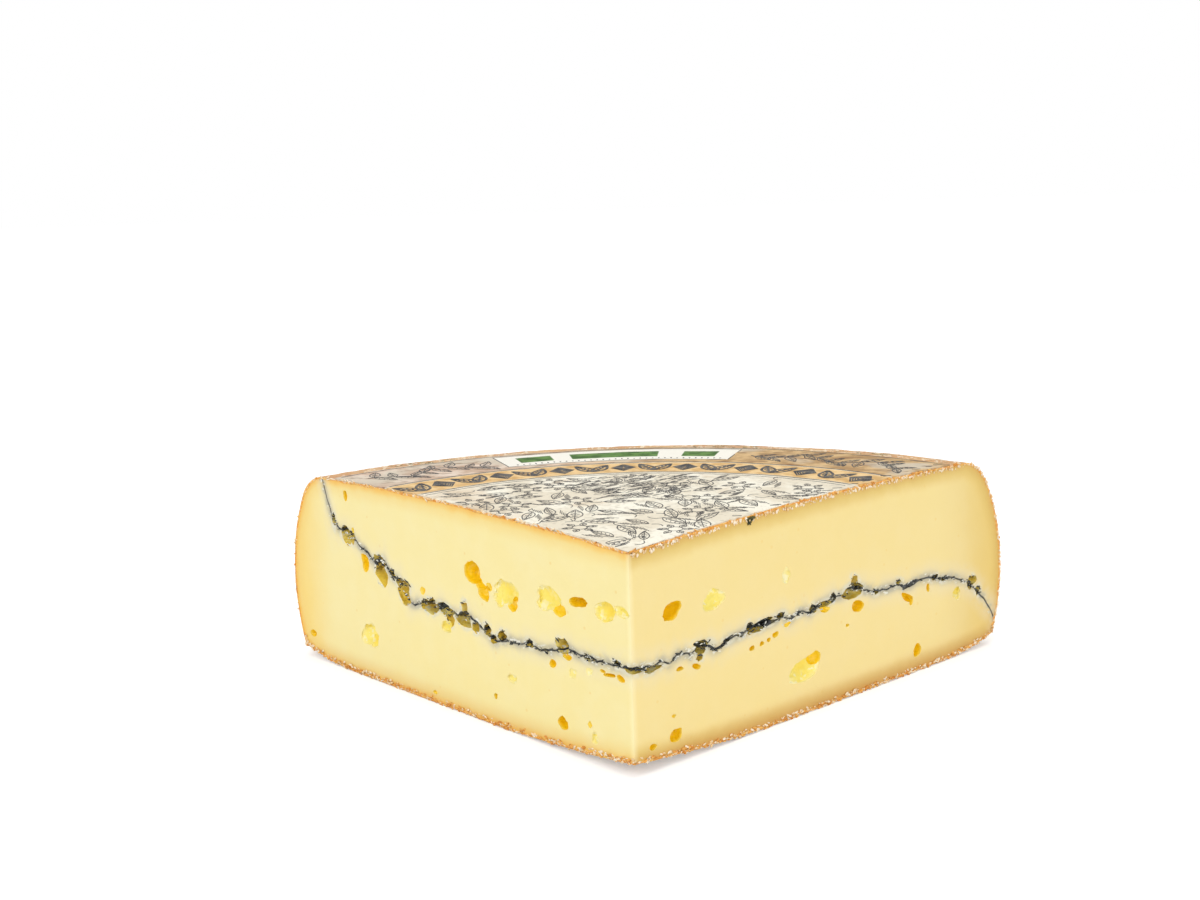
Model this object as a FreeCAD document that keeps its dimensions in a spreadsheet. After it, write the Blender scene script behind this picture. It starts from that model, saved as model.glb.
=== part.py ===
"""Quarter of a Morbier wheel, lying on its flat face.

The wheel was pressed in two halves with a thin sheet of ash between them, and cut twice through
its axis. The quarter is made of the lower paste, the ash layer, the upper paste and the paper label
on top. Eyes open in both cut faces, and ragged hollows open along the ash layer.

Frame: +Z up, origin in the middle of the box's underside. The wheel's axis is the vertical edge at
the front (-Y), and the rind is at the back (+Y). Millimetres.
"""

import FreeCAD, Part

import math
import os

import Sketcher
from FreeCAD import Placement, Rotation, Vector

# Driving dimensions, in millimetres and degrees: alias, value, what it is.
DIMENSIONS = [
    ("wheel_radius", 179.5, "axis to the widest line of the side"),
    ("wheel_height", 69.5, "table to the highest ring of the top"),
    ("wedge_angle", 90.0, "angle between the two cut faces"),
    ("crown_radius", 95.0, "radius of the ring where the top is highest"),
    ("apex_drop", 2.5, "how far the top falls from that ring to the axis"),
    ("shoulder_radius", 17.0, "rounding between top and side"),
    ("side_radius", 64.0, "curvature of the bulging side"),
    ("bulge_height", 27.0, "height of the widest line of the side"),
    ("rim_lift", 3.6, "height at which the side meets the underside"),
    ("rim_width", 36.0, "width of the underside that curves up to the side"),
    ("apex_lift", 4.0, "how far the underside rises at the axis"),
    ("lift_radius", 70.0, "radius inside which the underside rises"),
    ("ash_thickness", 1.0, "thickness of the ash layer"),
    ("ash_height", 32.4, "height of the ash layer at the axis"),
    ("label_margin", 29.5, "bare width between the label's edge and the widest line of the side"),
    ("label_thickness", 0.3, "thickness of the paper label"),
    ("eye_scale", 1.0, "size of all eyes and hollows against the sizes listed below"),
]

# The ash layer's course from the axis outwards, along the left cut and along the right one.
# Lengths are shares of the wheel's radius (out) or height (up).
LEFT_DIP = (-0.047, 0.32, 0.08)  # a shallow dip: how far up, its middle and its width out
LEFT_STEP = (0.144, 0.627, 0.025)  # a first step up: height, middle, width
LEFT_CLIMB_SLOPE = 0.27
LEFT_CLIMB_START_OUT = 0.68
LEFT_EXIT = (0.32, 0.866, 0.013)  # the steep step by which it leaves through the top
RIGHT_HUMP = (0.032, 0.457, 0.156)
RIGHT_SAG_UP = 0.42  # how far it has sunk where it leaves through the side
RIGHT_SAG_START_OUT = 0.557
RIGHT_SAG_POWER = 5.0
WAVE_UP = 0.007  # height of the gentle waves all over
WAVE_LENGTHS_OUT = (0.37, 0.23)
WAVE_START_OUT = 0.2  # they fade away towards the axis inside this distance
WAVE_TURN = 5.0  # how far the waves shift from the left cut to the right one, in radians
FAN_LINES = 16  # the ash surfaces' grid: lines that fan out from a point in front of the axis
RING_LINES = 60  # and points along each line
FAN_START_OUT = 0.15  # how far in front of the axis the fan's point lies
FAN_LINE_OUT = (0.075, 1.28)  # where each line starts and ends, measured from that point
SLOPE_REACH = 0.05  # half the span over which a slope is measured, in millimetres

# Eyes in the cut faces: place out from the axis and up (shares of radius and height),
# width, height and depth in millimetres, and tilt in degrees.
LEFT, RIGHT = -1, 1
EYES = {
    LEFT: [
        (0.406, 0.683, 7.5, 7.0, 5.0, 0),
        (0.376, 0.637, 6.0, 5.0, 3.0, -20),
        (0.315, 0.655, 12.0, 8.5, 2.6, 0),
        (0.293, 0.612, 6.0, 5.0, 4.0, 0),
        (0.196, 0.669, 13.0, 8.0, 2.6, 0),
        (0.127, 0.691, 7.5, 3.2, 3.5, 0),
        (0.064, 0.676, 9.0, 6.0, 3.0, 0),
        (0.740, 0.230, 10.5, 8.0, 2.8, -30),
        (0.945, 0.129, 4.0, 2.4, 2.0, 0),
        (0.174, 0.129, 5.0, 4.0, 3.0, 0),
        (0.796, 0.914, 2.6, 4.2, 2.0, 0),
    ],
    RIGHT: [
        (0.091, 0.669, 8.0, 5.0, 4.5, 20),
        (0.185, 0.662, 10.0, 6.2, 2.0, 0),
        (0.417, 0.223, 14.0, 7.5, 3.0, 12),
        (0.094, 0.122, 5.5, 4.6, 3.5, 0),
        (0.041, 0.108, 3.0, 2.4, 2.0, 0),
        (0.729, 0.101, 4.5, 4.0, 3.0, 0),
        (0.848, 0.324, 5.0, 6.0, 3.0, 0),
    ],
}
# Hollows along the ash layer: place out, height above the layer's middle in millimetres,
# width, height, depth and tilt as above.
HOLLOWS = {
    LEFT: [
        (0.796, 0.0, 7.0, 4.5, 4.0, -15),
        (0.740, -3.5, 4.5, 7.0, 3.5, 10),
        (0.696, -1.5, 8.0, 8.5, 5.0, 25),
        (0.624, -1.0, 8.0, 7.0, 5.0, -10),
        (0.541, 0.5, 9.0, 5.0, 4.0, 20),
        (0.481, -0.5, 8.0, 6.0, 4.0, -15),
        (0.425, -0.5, 8.0, 8.0, 5.0, 0),
        (0.370, -1.0, 5.0, 4.0, 3.0, 0),
        (0.332, 0.0, 7.0, 3.0, 3.0, -20),
        (0.166, 1.0, 6.0, 4.0, 4.0, 0),
    ],
    RIGHT: [
        (0.149, 0.5, 6.0, 4.0, 4.0, -20),
        (0.276, 0.5, 9.0, 3.2, 3.5, -5),
        (0.442, 0.0, 7.0, 3.5, 3.0, 10),
        (0.541, 1.0, 10.0, 6.0, 5.0, -15),
        (0.558, -5.2, 6.0, 4.4, 3.5, 0),
        (0.707, -3.0, 8.0, 4.0, 3.5, -25),
        (0.898, 0.0, 5.0, 3.6, 3.0, 0),
    ],
}
EYE_SINK = 0.3  # how far an eye's centre lies behind the cut, as a share of its depth


def make_sheet(doc):
    """The spreadsheet of driving dimensions, and the sizes derived from them."""
    sheet = doc.addObject("Spreadsheet::Sheet", "Dimensions")
    derived = [
        ("apex_offset", "=wheel_radius / 2", "axis to the middle of the box"),
        ("half_angle", "=wedge_angle / 2", "each cut face's angle from the middle plane"),
        (
            "crown_curve",
            "=(crown_radius ^ 2 + apex_drop ^ 2) / (2 * apex_drop)",
            "curvature of the top",
        ),
        ("label_curve", "=crown_curve + label_thickness", "curvature of the label's top"),
        ("side_centre", "=wheel_radius - side_radius", "axis to the centre of the side's curve"),
        ("floor_radius", "=wheel_radius - rim_width", "outer radius of the flat underside"),
        ("label_radius", "=wheel_radius - label_margin", "radius of the paper label"),
        ("apex_top", "=wheel_height - apex_drop", "height of the top at the axis"),
    ]
    for row, (alias, value, meaning) in enumerate(DIMENSIONS + derived, start=1):
        sheet.set(f"A{row}", meaning)
        sheet.set(f"B{row}", str(value))
        sheet.setAlias(f"B{row}", alias)
    doc.recompute()
    return sheet


def new_body(doc, label):
    body = doc.addObject("PartDesign::Body", label)
    body.Label = label
    return body


def new_sketch(body, name):
    """A sketch on the body's own middle plane: its X is the distance from the axis, its Y the height."""
    sketch = body.newObject("Sketcher::SketchObject", name)
    plane = next(f for f in body.Origin.OriginFeatures if f.Role == "YZ_Plane")
    sketch.AttachmentSupport = (plane, [""])
    sketch.MapMode = "FlatFace"
    return sketch


def bind(sketch, kind, places, alias):
    """Adds a dimension to the sketch and ties it to a cell of the sheet."""
    value = getattr(sketch.Document.Dimensions, alias)
    index = sketch.addConstraint(Sketcher.Constraint(kind, *places, float(value)))
    sketch.setExpression(f"Constraints[{index}]", f"Dimensions.{alias}")


def arc(centre, radius, start, end):
    """A circular arc about centre from the angle of start to the angle of end, anticlockwise."""
    circle = Part.Circle(Vector(*centre, 0), Vector(0, 0, 1), radius)
    angles = [math.atan2(y - centre[1], x - centre[0]) for x, y in (start, end)]
    return Part.ArcOfCircle(circle, *angles)


START, END, CENTRE = 1, 2, 3
H_AXIS, V_AXIS = -1, -2
ORIGIN = (H_AXIS, START)


def towards(start, goal, distance):
    """The point at a distance from start in the direction of goal."""
    share = distance / math.dist(start, goal)
    return tuple(a + (b - a) * share for a, b in zip(start, goal))


def outer_meeting(first, first_radius, second, second_radius):
    """The meeting point of two circles that lies further out from the axis."""
    apart = math.dist(first, second)
    along = (first_radius**2 - second_radius**2 + apart**2) / (2 * apart)
    aside = math.sqrt(first_radius**2 - along**2)
    foot = towards(first, second, along)
    across = ((second[1] - first[1]) / apart, (first[0] - second[0]) / apart)
    return foot[0] + across[0] * aside, foot[1] + across[1] * aside


def line(start, end):
    return Part.LineSegment(Vector(*start, 0), Vector(*end, 0))


def draw_wheel_profile(sketch, size):
    """Half the wheel's section, from the axis to the side, fully constrained."""
    crown_centre = (size.crown_radius, size.wheel_height - size.crown_curve)
    side_centre = (size.side_centre, size.bulge_height)
    shoulder_centre = outer_meeting(
        crown_centre,
        size.crown_curve - size.shoulder_radius,
        side_centre,
        size.side_radius - size.shoulder_radius,
    )
    top_end = towards(crown_centre, shoulder_centre, size.crown_curve)
    side_head = towards(side_centre, shoulder_centre, size.side_radius)
    side_drop = size.bulge_height - size.rim_lift
    side_foot = (size.side_centre + math.sqrt(size.side_radius**2 - side_drop**2), size.rim_lift)
    rim_run = side_foot[0] - size.floor_radius
    rim_curve = (rim_run**2 + size.rim_lift**2) / (2 * size.rim_lift)
    rim_centre = (size.floor_radius, rim_curve)
    lift_curve = (size.lift_radius**2 + size.apex_lift**2) / (2 * size.apex_lift)
    lift_centre = (size.lift_radius, lift_curve)
    axis_foot, axis_head = (0.0, size.apex_lift), (0.0, size.apex_top)
    floor_in, floor_out = (size.lift_radius, 0.0), (size.floor_radius, 0.0)

    axis = sketch.addGeometry(line(axis_foot, axis_head))
    top = sketch.addGeometry(arc(crown_centre, size.crown_curve, top_end, axis_head))
    shoulder = sketch.addGeometry(arc(shoulder_centre, size.shoulder_radius, side_head, top_end))
    side = sketch.addGeometry(arc(side_centre, size.side_radius, side_foot, side_head))
    rim = sketch.addGeometry(arc(rim_centre, rim_curve, floor_out, side_foot))
    floor = sketch.addGeometry(line(floor_in, floor_out))
    lift = sketch.addGeometry(arc(lift_centre, lift_curve, axis_foot, floor_in))

    for kind, *places in (
        ("PointOnObject", axis, START, V_AXIS),
        ("Vertical", axis),
        ("Coincident", axis, END, top, END),
        ("Tangent", top, START, shoulder, END),
        ("Tangent", shoulder, START, side, END),
        ("Coincident", side, START, rim, END),
        ("Tangent", rim, START, floor, END),
        ("Tangent", floor, START, lift, END),
        ("Coincident", lift, START, axis, START),
        ("PointOnObject", floor, START, H_AXIS),
        ("Horizontal", floor),
    ):
        sketch.addConstraint(Sketcher.Constraint(kind, *places))
    bind(sketch, "DistanceX", (*ORIGIN, top, CENTRE), "crown_radius")
    bind(sketch, "DistanceY", (*ORIGIN, axis, END), "apex_top")
    bind(sketch, "Radius", (top,), "crown_curve")
    bind(sketch, "Radius", (shoulder,), "shoulder_radius")
    bind(sketch, "Radius", (side,), "side_radius")
    bind(sketch, "DistanceX", (*ORIGIN, side, CENTRE), "side_centre")
    bind(sketch, "DistanceY", (*ORIGIN, side, CENTRE), "bulge_height")
    bind(sketch, "DistanceY", (*ORIGIN, side, START), "rim_lift")
    bind(sketch, "DistanceX", (*ORIGIN, floor, END), "floor_radius")
    bind(sketch, "DistanceX", (*ORIGIN, floor, START), "lift_radius")
    bind(sketch, "DistanceY", (*ORIGIN, axis, START), "apex_lift")


def draw_label_profile(sketch, size):
    """The label's section: a strip of paper that follows the curve of the wheel's top."""
    crown_centre = (size.crown_radius, size.wheel_height - size.crown_curve)

    def corner(out, curve):
        return out, crown_centre[1] + math.sqrt(curve**2 - (out - crown_centre[0]) ** 2)

    inner_foot = corner(0.0, size.crown_curve)
    inner_head = corner(0.0, size.label_curve)
    outer_head = corner(size.label_radius, size.label_curve)
    outer_foot = corner(size.label_radius, size.crown_curve)
    axis = sketch.addGeometry(line(inner_foot, inner_head))
    upper = sketch.addGeometry(arc(crown_centre, size.label_curve, outer_head, inner_head))
    edge = sketch.addGeometry(line(outer_head, outer_foot))
    lower = sketch.addGeometry(arc(crown_centre, size.crown_curve, outer_foot, inner_foot))

    for kind, *places in (
        ("PointOnObject", axis, START, V_AXIS),
        ("Vertical", axis),
        ("Coincident", axis, END, upper, END),
        ("Coincident", upper, START, edge, START),
        ("Vertical", edge),
        ("Coincident", edge, END, lower, START),
        ("Coincident", lower, END, axis, START),
        ("Coincident", lower, CENTRE, upper, CENTRE),
    ):
        sketch.addConstraint(Sketcher.Constraint(kind, *places))
    bind(sketch, "DistanceX", (*ORIGIN, lower, CENTRE), "crown_radius")
    bind(sketch, "DistanceY", (*ORIGIN, axis, START), "apex_top")
    bind(sketch, "Radius", (lower,), "crown_curve")
    bind(sketch, "Radius", (upper,), "label_curve")
    bind(sketch, "DistanceX", (*ORIGIN, edge, START), "label_radius")


def revolve(body, sketch):
    """Turns the section about the wheel's axis by the wedge's angle, half to each side."""
    turned = body.newObject("PartDesign::Revolution", f"{body.Label}_turned")
    turned.Profile = sketch
    turned.ReferenceAxis = (sketch, ["V_Axis"])
    turned.Midplane = True
    turned.setExpression("Angle", "Dimensions.wedge_angle")
    return turned


def smooth_step(share):
    share = min(max(share, 0.0), 1.0)
    return share * share * (3 - 2 * share)


def bell(share, up, middle, width):
    return up * math.exp(-(((share - middle) / width) ** 2))


def step(share, up, middle, width):
    return up / (1 + math.exp((middle - share) / width))


def ash_middle(size, out, turn):
    """Height of the ash layer at a distance from the axis. turn is 0 at the left cut, 1 at the right."""
    share = out / size.wheel_radius
    left = size.wheel_height * (bell(share, *LEFT_DIP) + step(share, *LEFT_STEP) + step(share, *LEFT_EXIT))
    left += LEFT_CLIMB_SLOPE * max(out - LEFT_CLIMB_START_OUT * size.wheel_radius, 0.0)
    sag = max(share - RIGHT_SAG_START_OUT, 0.0) / (1 - RIGHT_SAG_START_OUT)
    right = size.wheel_height * (bell(share, *RIGHT_HUMP) - RIGHT_SAG_UP * sag**RIGHT_SAG_POWER)
    waves = sum(math.sin(2 * math.pi * share / length + WAVE_TURN * turn) for length in WAVE_LENGTHS_OUT)
    waves *= WAVE_UP * size.wheel_height * smooth_step(share / WAVE_START_OUT)
    across = smooth_step(turn)
    return size.ash_height + left * (1 - across) + right * across + waves


def ash_point(size, x, y, offset):
    """A point of the ash surface over (x, y), moved by offset along the surface's normal."""

    def height(px, py):
        # The angle is mirrored in front of the axis, so that the surface stays smooth there.
        turn = 0.5 + math.degrees(math.atan2(px, abs(py))) / size.wedge_angle
        return ash_middle(size, math.hypot(px, py), turn)

    slope_x = (height(x + SLOPE_REACH, y) - height(x - SLOPE_REACH, y)) / (2 * SLOPE_REACH)
    slope_y = (height(x, y + SLOPE_REACH) - height(x, y - SLOPE_REACH)) / (2 * SLOPE_REACH)
    normal = Vector(-slope_x, -slope_y, 1).normalize()
    return Vector(x, y, height(x, y)) + normal * offset


def ash_face(size, offset):
    """The ash layer's middle surface moved by offset, a little wider than the wedge all round."""
    front = FAN_START_OUT * size.wheel_radius
    first, last = (share * size.wheel_radius for share in FAN_LINE_OUT)
    reaches = [first + (last - first) * j / RING_LINES for j in range(RING_LINES + 1)]
    fan = []
    for i in range(FAN_LINES + 1):
        angle = math.radians(size.half_angle * (2 * i / FAN_LINES - 1))
        places = [(reach * math.sin(angle), reach * math.cos(angle) - front) for reach in reaches]
        fan.append([ash_point(size, x, y, offset) for x, y in places])
    surface = Part.BSplineSurface()
    surface.interpolate(fan)
    return surface.toShape()


def make_side_of_ash(doc, name, face, up):
    """A tall block that starts at an ash surface and runs up or down past the cheese."""
    skin = doc.addObject("Part::Feature", f"{name}_skin")
    skin.Shape = face
    block = doc.addObject("Part::Extrusion", name)
    block.Base = skin
    block.DirMode = "Custom"
    block.Dir = Vector(0, 0, 1 if up else -1)
    block.Solid = True
    block.setExpression("LengthFwd", "2 * Dimensions.wheel_height")
    return block


def make_eye(doc, size, name, side, out, height, width, tall, deep, tilt):
    """An ellipsoid whose mouth in the cut face is width by tall."""
    mouth = math.sqrt(1 - (EYE_SINK / (1 - EYE_SINK)) ** 2)  # against its widest section
    eye = doc.addObject("Part::Ellipsoid", name)
    eye.setExpression("Radius1", f"Dimensions.eye_scale * {tall / 2 / mouth}")
    eye.setExpression("Radius2", f"Dimensions.eye_scale * {width / 2 / mouth}")
    eye.setExpression("Radius3", f"Dimensions.eye_scale * {deep * (1 - EYE_SINK)}")
    eye.Angle1, eye.Angle2, eye.Angle3 = -90, 90, 360
    turn = Rotation(Vector(0, 0, 1), 90 - side * size.half_angle)
    lean = Rotation(Vector(0, 1, 0), -tilt * side)
    along = turn.multVec(Vector(1, 0, 0))
    inward = turn.multVec(Vector(0, side, 0))
    centre = along * out + inward * (EYE_SINK * deep * size.eye_scale) + Vector(0, 0, height)
    eye.Placement = Placement(centre, turn.multiply(lean))
    return eye


def make_eyes(doc, size):
    """All eyes and hollows, joined into one tool."""
    eyes = []
    for side, label in ((LEFT, "left"), (RIGHT, "right")):
        for out, up, *shape in EYES[side]:
            place = (out * size.wheel_radius, up * size.wheel_height)
            eyes.append(make_eye(doc, size, f"eye_{label}", side, *place, *shape))
        turn = 0.0 if side == LEFT else 1.0
        for out, above, *shape in HOLLOWS[side]:
            distance = out * size.wheel_radius
            place = (distance, ash_middle(size, distance, turn) + above)
            eyes.append(make_eye(doc, size, f"hollow_{label}", side, *place, *shape))
    joined = doc.addObject("Part::MultiFuse", "eyes")
    joined.Shapes = eyes
    joined.Refine = False
    return joined


def combine(doc, kind, name, base, tool):
    made = doc.addObject(f"Part::{kind}", name)
    made.Base, made.Tool = base, tool
    return made


def check(doc, pieces):
    """Stops if any object failed, or a piece isn't one valid solid."""
    failed = [o.Name for o in doc.Objects if {"Invalid", "Error"} & set(o.State)]
    if failed:
        raise RuntimeError(f"these objects failed: {failed}")
    for sketch in doc.findObjects("Sketcher::SketchObject"):
        if not sketch.FullyConstrained:
            raise RuntimeError(f"{sketch.Name} isn't fully constrained")
    for piece in pieces:
        shape = piece.Shape
        if shape.isNull() or not shape.isValid() or len(shape.Solids) != 1:
            raise RuntimeError(f"{piece.Label} isn't one valid solid")


def main():
    doc = FreeCAD.newDocument("morbier_quarter")
    size = make_sheet(doc)

    quarter = new_body(doc, "quarter")
    section = new_sketch(quarter, "wheel_profile")
    draw_wheel_profile(section, size)
    revolve(quarter, section)

    label = new_body(doc, "paper_label")
    strip = new_sketch(label, "label_profile")
    draw_label_profile(strip, size)
    revolve(label, strip)
    doc.recompute()

    half_ash = size.ash_thickness / 2
    below = make_side_of_ash(doc, "below_ash", ash_face(size, -half_ash), up=False)
    above = make_side_of_ash(doc, "above_ash", ash_face(size, half_ash), up=True)
    eyes = make_eyes(doc, size)

    lower_block = combine(doc, "Common", "lower_block", quarter, below)
    upper_block = combine(doc, "Common", "upper_block", quarter, above)
    without_lower = combine(doc, "Cut", "quarter_above_lower_skin", quarter, below)
    ash_block = combine(doc, "Cut", "ash_block", without_lower, above)
    pieces = [
        combine(doc, "Cut", name, block, eyes)
        for name, block in (
            ("lower_paste", lower_block),
            ("ash_layer", ash_block),
            ("upper_paste", upper_block),
        )
    ]
    pieces.append(label)
    doc.recompute()
    for piece in pieces:
        piece.Placement = Placement(Vector(0, -size.apex_offset, 0), Rotation())
    doc.recompute()

    check(doc, pieces)
    os.makedirs("parts", exist_ok=True)
    for piece in pieces:
        piece.Shape.exportStep(f"parts/{piece.Label}.step")
        print(f"{piece.Label}: {piece.Shape.Volume / 1000:.1f} cm3")


main()
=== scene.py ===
"""Looks of a quarter wheel of Morbier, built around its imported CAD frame.

Lengths are millimetres here and become metres when a mesh is made. A place is given as its distance
from the wheel's axis (out), its turn between the left cut (0) and the right cut (1), and its height.
"""

import math

import bmesh
import bpy
import numpy as np
from mathutils import Matrix, Vector


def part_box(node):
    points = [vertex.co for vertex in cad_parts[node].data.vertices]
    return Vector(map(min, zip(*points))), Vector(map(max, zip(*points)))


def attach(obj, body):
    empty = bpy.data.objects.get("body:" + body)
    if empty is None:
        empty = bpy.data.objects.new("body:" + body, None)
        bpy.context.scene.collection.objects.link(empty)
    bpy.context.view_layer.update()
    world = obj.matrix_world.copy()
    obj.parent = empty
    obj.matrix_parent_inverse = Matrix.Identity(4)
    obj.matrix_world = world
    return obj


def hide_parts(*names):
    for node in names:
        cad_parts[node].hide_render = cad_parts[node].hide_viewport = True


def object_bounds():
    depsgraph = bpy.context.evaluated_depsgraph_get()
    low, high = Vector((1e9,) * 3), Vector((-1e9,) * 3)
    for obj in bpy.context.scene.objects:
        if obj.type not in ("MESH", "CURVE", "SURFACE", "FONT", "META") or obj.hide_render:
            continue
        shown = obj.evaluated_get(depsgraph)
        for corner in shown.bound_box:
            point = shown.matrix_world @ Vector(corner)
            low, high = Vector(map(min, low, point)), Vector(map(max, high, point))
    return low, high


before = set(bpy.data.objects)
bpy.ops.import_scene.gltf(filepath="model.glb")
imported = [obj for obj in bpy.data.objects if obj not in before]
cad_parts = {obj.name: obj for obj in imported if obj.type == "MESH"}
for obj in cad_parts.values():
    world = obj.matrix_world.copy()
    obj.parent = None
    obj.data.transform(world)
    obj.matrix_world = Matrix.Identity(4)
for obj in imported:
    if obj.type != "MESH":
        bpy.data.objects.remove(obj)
cad_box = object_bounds()

MM = 0.001
AXIS_Y = cad_box[0].y / MM
RADIUS = (cad_box[1].y - cad_box[0].y) / MM
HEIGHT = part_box("upper_paste")[1].z / MM
LABEL_RADIUS = math.hypot(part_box("paper_label")[1].x / MM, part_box("paper_label")[1].x / MM)
HALF_ANGLE = math.radians(45)
LEFT, RIGHT = 0, 1
SIGN = (-1, 1)  # of what mirrors from the left cut to the right one
UP = np.array((0, 0, 1.0))
DETAIL = 1.0

# The wheel's outline, as in the CAD: radii of its curves, and where they lie.
CROWN_AT = 95.0  # how far out the top is highest
CROWN_CURVE = 1806.25
SHOULDER_CURVE = 17.0
SIDE_CURVE = 64.0
BULGE_AT = 27.0  # height of the side's widest line
RIM_LIFT = 3.6  # how far the side's lower edge is off the floor
FLOOR_TO = RADIUS - 36.0  # where the flat underside ends
LIFT_FROM = 70.0  # where it starts; further in, it curves up
APEX_LIFT = 4.0  # how far the tip is off the floor
RIND = 0.8  # thickness of the rind

# ---------- outline of the wheel

CROWN_CENTRE = np.array((CROWN_AT, HEIGHT - CROWN_CURVE))
SIDE_CENTRE = np.array((RADIUS - SIDE_CURVE, BULGE_AT))


def meeting(first, first_radius, second, second_radius):
    """The outer of the two points where two circles meet."""
    gap = second - first
    apart = np.linalg.norm(gap)
    along = (first_radius**2 - second_radius**2 + apart**2) / (2 * apart)
    aside = math.sqrt(first_radius**2 - along**2)
    ahead = gap / apart
    both = [first + ahead * along + turn * aside * np.array((-ahead[1], ahead[0])) for turn in (-1, 1)]
    return max(both, key=lambda point: point[0])


SHOULDER_CENTRE = meeting(
    CROWN_CENTRE, CROWN_CURVE - SHOULDER_CURVE, SIDE_CENTRE, SIDE_CURVE - SHOULDER_CURVE)
RIM_CORNER = SIDE_CENTRE[0] + math.sqrt(SIDE_CURVE**2 - (BULGE_AT - RIM_LIFT) ** 2)
RIM_CURVE = ((RIM_CORNER - FLOOR_TO) ** 2 + RIM_LIFT**2) / (2 * RIM_LIFT)
LIFT_CURVE = (LIFT_FROM**2 + APEX_LIFT**2) / (2 * APEX_LIFT)


def steepness(centre, other):
    """Direction from one arc's centre to the next, which is that of their shared normal."""
    gap = other - centre
    return math.atan2(gap[1], gap[0])


CROWN_ENDS = steepness(CROWN_CENTRE, SHOULDER_CENTRE)
SIDE_STARTS = steepness(SIDE_CENTRE, SHOULDER_CENTRE)


def circle_height(out, centre, radius, sign):
    return centre[1] + sign * np.sqrt(np.maximum(radius**2 - (out - centre[0]) ** 2, 0))


def over(out, inset=0.0):
    """Height of the top of the wheel, and of the upper half of its side, seen from above."""
    shoulder = SHOULDER_CURVE - inset
    crown_to = SHOULDER_CENTRE[0] + shoulder * math.cos(CROWN_ENDS)
    shoulder_to = SHOULDER_CENTRE[0] + shoulder * math.cos(SIDE_STARTS)
    crown = circle_height(out, CROWN_CENTRE, CROWN_CURVE - inset, 1)
    round_part = circle_height(out, SHOULDER_CENTRE, shoulder, 1)
    side = circle_height(out, SIDE_CENTRE, SIDE_CURVE - inset, 1)
    return np.where(out < crown_to, crown, np.where(out < shoulder_to, round_part, side))


def under(out, inset=0.0):
    """Height of the underside and of the lower half of the side."""
    lift = circle_height(out, (LIFT_FROM, LIFT_CURVE), LIFT_CURVE - inset, -1)
    rim = circle_height(out, (FLOOR_TO, RIM_CURVE), RIM_CURVE - inset, -1)
    flat = np.full_like(np.asarray(out, float), inset)
    low = np.where(out < LIFT_FROM, lift, np.where(out > FLOOR_TO, rim, flat))
    side = circle_height(out, SIDE_CENTRE, SIDE_CURVE - inset, -1)
    return np.where(out > SIDE_CENTRE[0] + SIDE_CURVE / 2, np.maximum(low, side), low)


def arc(centre, radius, start, end, count):
    angles = np.linspace(start, end, count)
    return np.stack((centre[0] + radius * np.cos(angles), centre[1] + radius * np.sin(angles)), 1)


def outline(crown_count, shoulder_count, side_count, rim_count, floor_count):
    """The whole profile from the axis over top, side and underside back to the axis, and its normals."""
    crown_starts = math.acos(-CROWN_AT / CROWN_CURVE)
    side_ends = -math.asin((BULGE_AT - RIM_LIFT) / SIDE_CURVE)
    rim_starts = math.asin((RIM_CORNER - FLOOR_TO) / RIM_CURVE) - math.pi / 2
    lift_ends = -math.pi / 2 - math.asin(LIFT_FROM / LIFT_CURVE)
    floor = np.stack((np.linspace(FLOOR_TO, LIFT_FROM, floor_count), np.zeros(floor_count)), 1)
    parts = [
        arc(CROWN_CENTRE, CROWN_CURVE, crown_starts, CROWN_ENDS, crown_count),
        arc(SHOULDER_CENTRE, SHOULDER_CURVE, CROWN_ENDS, SIDE_STARTS, shoulder_count)[1:],
        arc(SIDE_CENTRE, SIDE_CURVE, SIDE_STARTS, side_ends, side_count)[1:],
        arc((FLOOR_TO, RIM_CURVE), RIM_CURVE, rim_starts, -math.pi / 2, rim_count)[1:],
        floor[1:],
        arc((LIFT_FROM, LIFT_CURVE), LIFT_CURVE, -math.pi / 2, lift_ends, floor_count)[1:],
    ]
    points = np.concatenate(parts)
    along = np.gradient(points, axis=0)
    normals = np.stack((-along[:, 1], along[:, 0]), 1)
    normals /= np.linalg.norm(normals, axis=1)[:, None]
    return points, -normals * np.sign(-normals[0, 1])


# ---------- places and noise


def place(out, turn, height):
    """Row-frame point, in millimetres."""
    angle = (np.asarray(turn, float) * 2 - 1) * HALF_ANGLE
    out, angle, height = np.broadcast_arrays(np.asarray(out, float), angle, np.asarray(height, float))
    return np.stack((out * np.sin(angle), AXIS_Y + out * np.cos(angle), height), -1)


def out_and_turn(points):
    x, y = points[:, 0], points[:, 1] - AXIS_Y
    return np.hypot(x, y), 0.5 + np.arctan2(x, np.abs(y)) / (2 * HALF_ANGLE)


def lengths_along(points):
    return np.concatenate(([0], np.cumsum(np.linalg.norm(np.diff(points, axis=0), axis=1))))


def behind_cuts(out, turn):
    """How far a place lies behind the left cut and behind the right one."""
    return out * np.sin(turn * 2 * HALF_ANGLE), out * np.sin((1 - turn) * 2 * HALF_ANGLE)


def cut_across(side):
    """Points outwards from the axis along that cut."""
    angle = SIGN[side] * HALF_ANGLE
    return np.array((math.sin(angle), math.cos(angle), 0.0))


def cut_normal(side):
    """Points out of the cheese at that cut."""
    across = cut_across(side)
    return SIGN[side] * np.array((across[1], -across[0], 0.0))


def cut_frame(side):
    return cut_across(side), UP, cut_normal(side)


def turned(x, y, angle):
    """Turns x and y about their origin."""
    return x * math.cos(angle) - y * math.sin(angle), x * math.sin(angle) + y * math.cos(angle)


def axes(angle):
    """The directions ahead and aside for a heading."""
    return np.array((math.cos(angle), math.sin(angle))), np.array((-math.sin(angle), math.cos(angle)))


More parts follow.
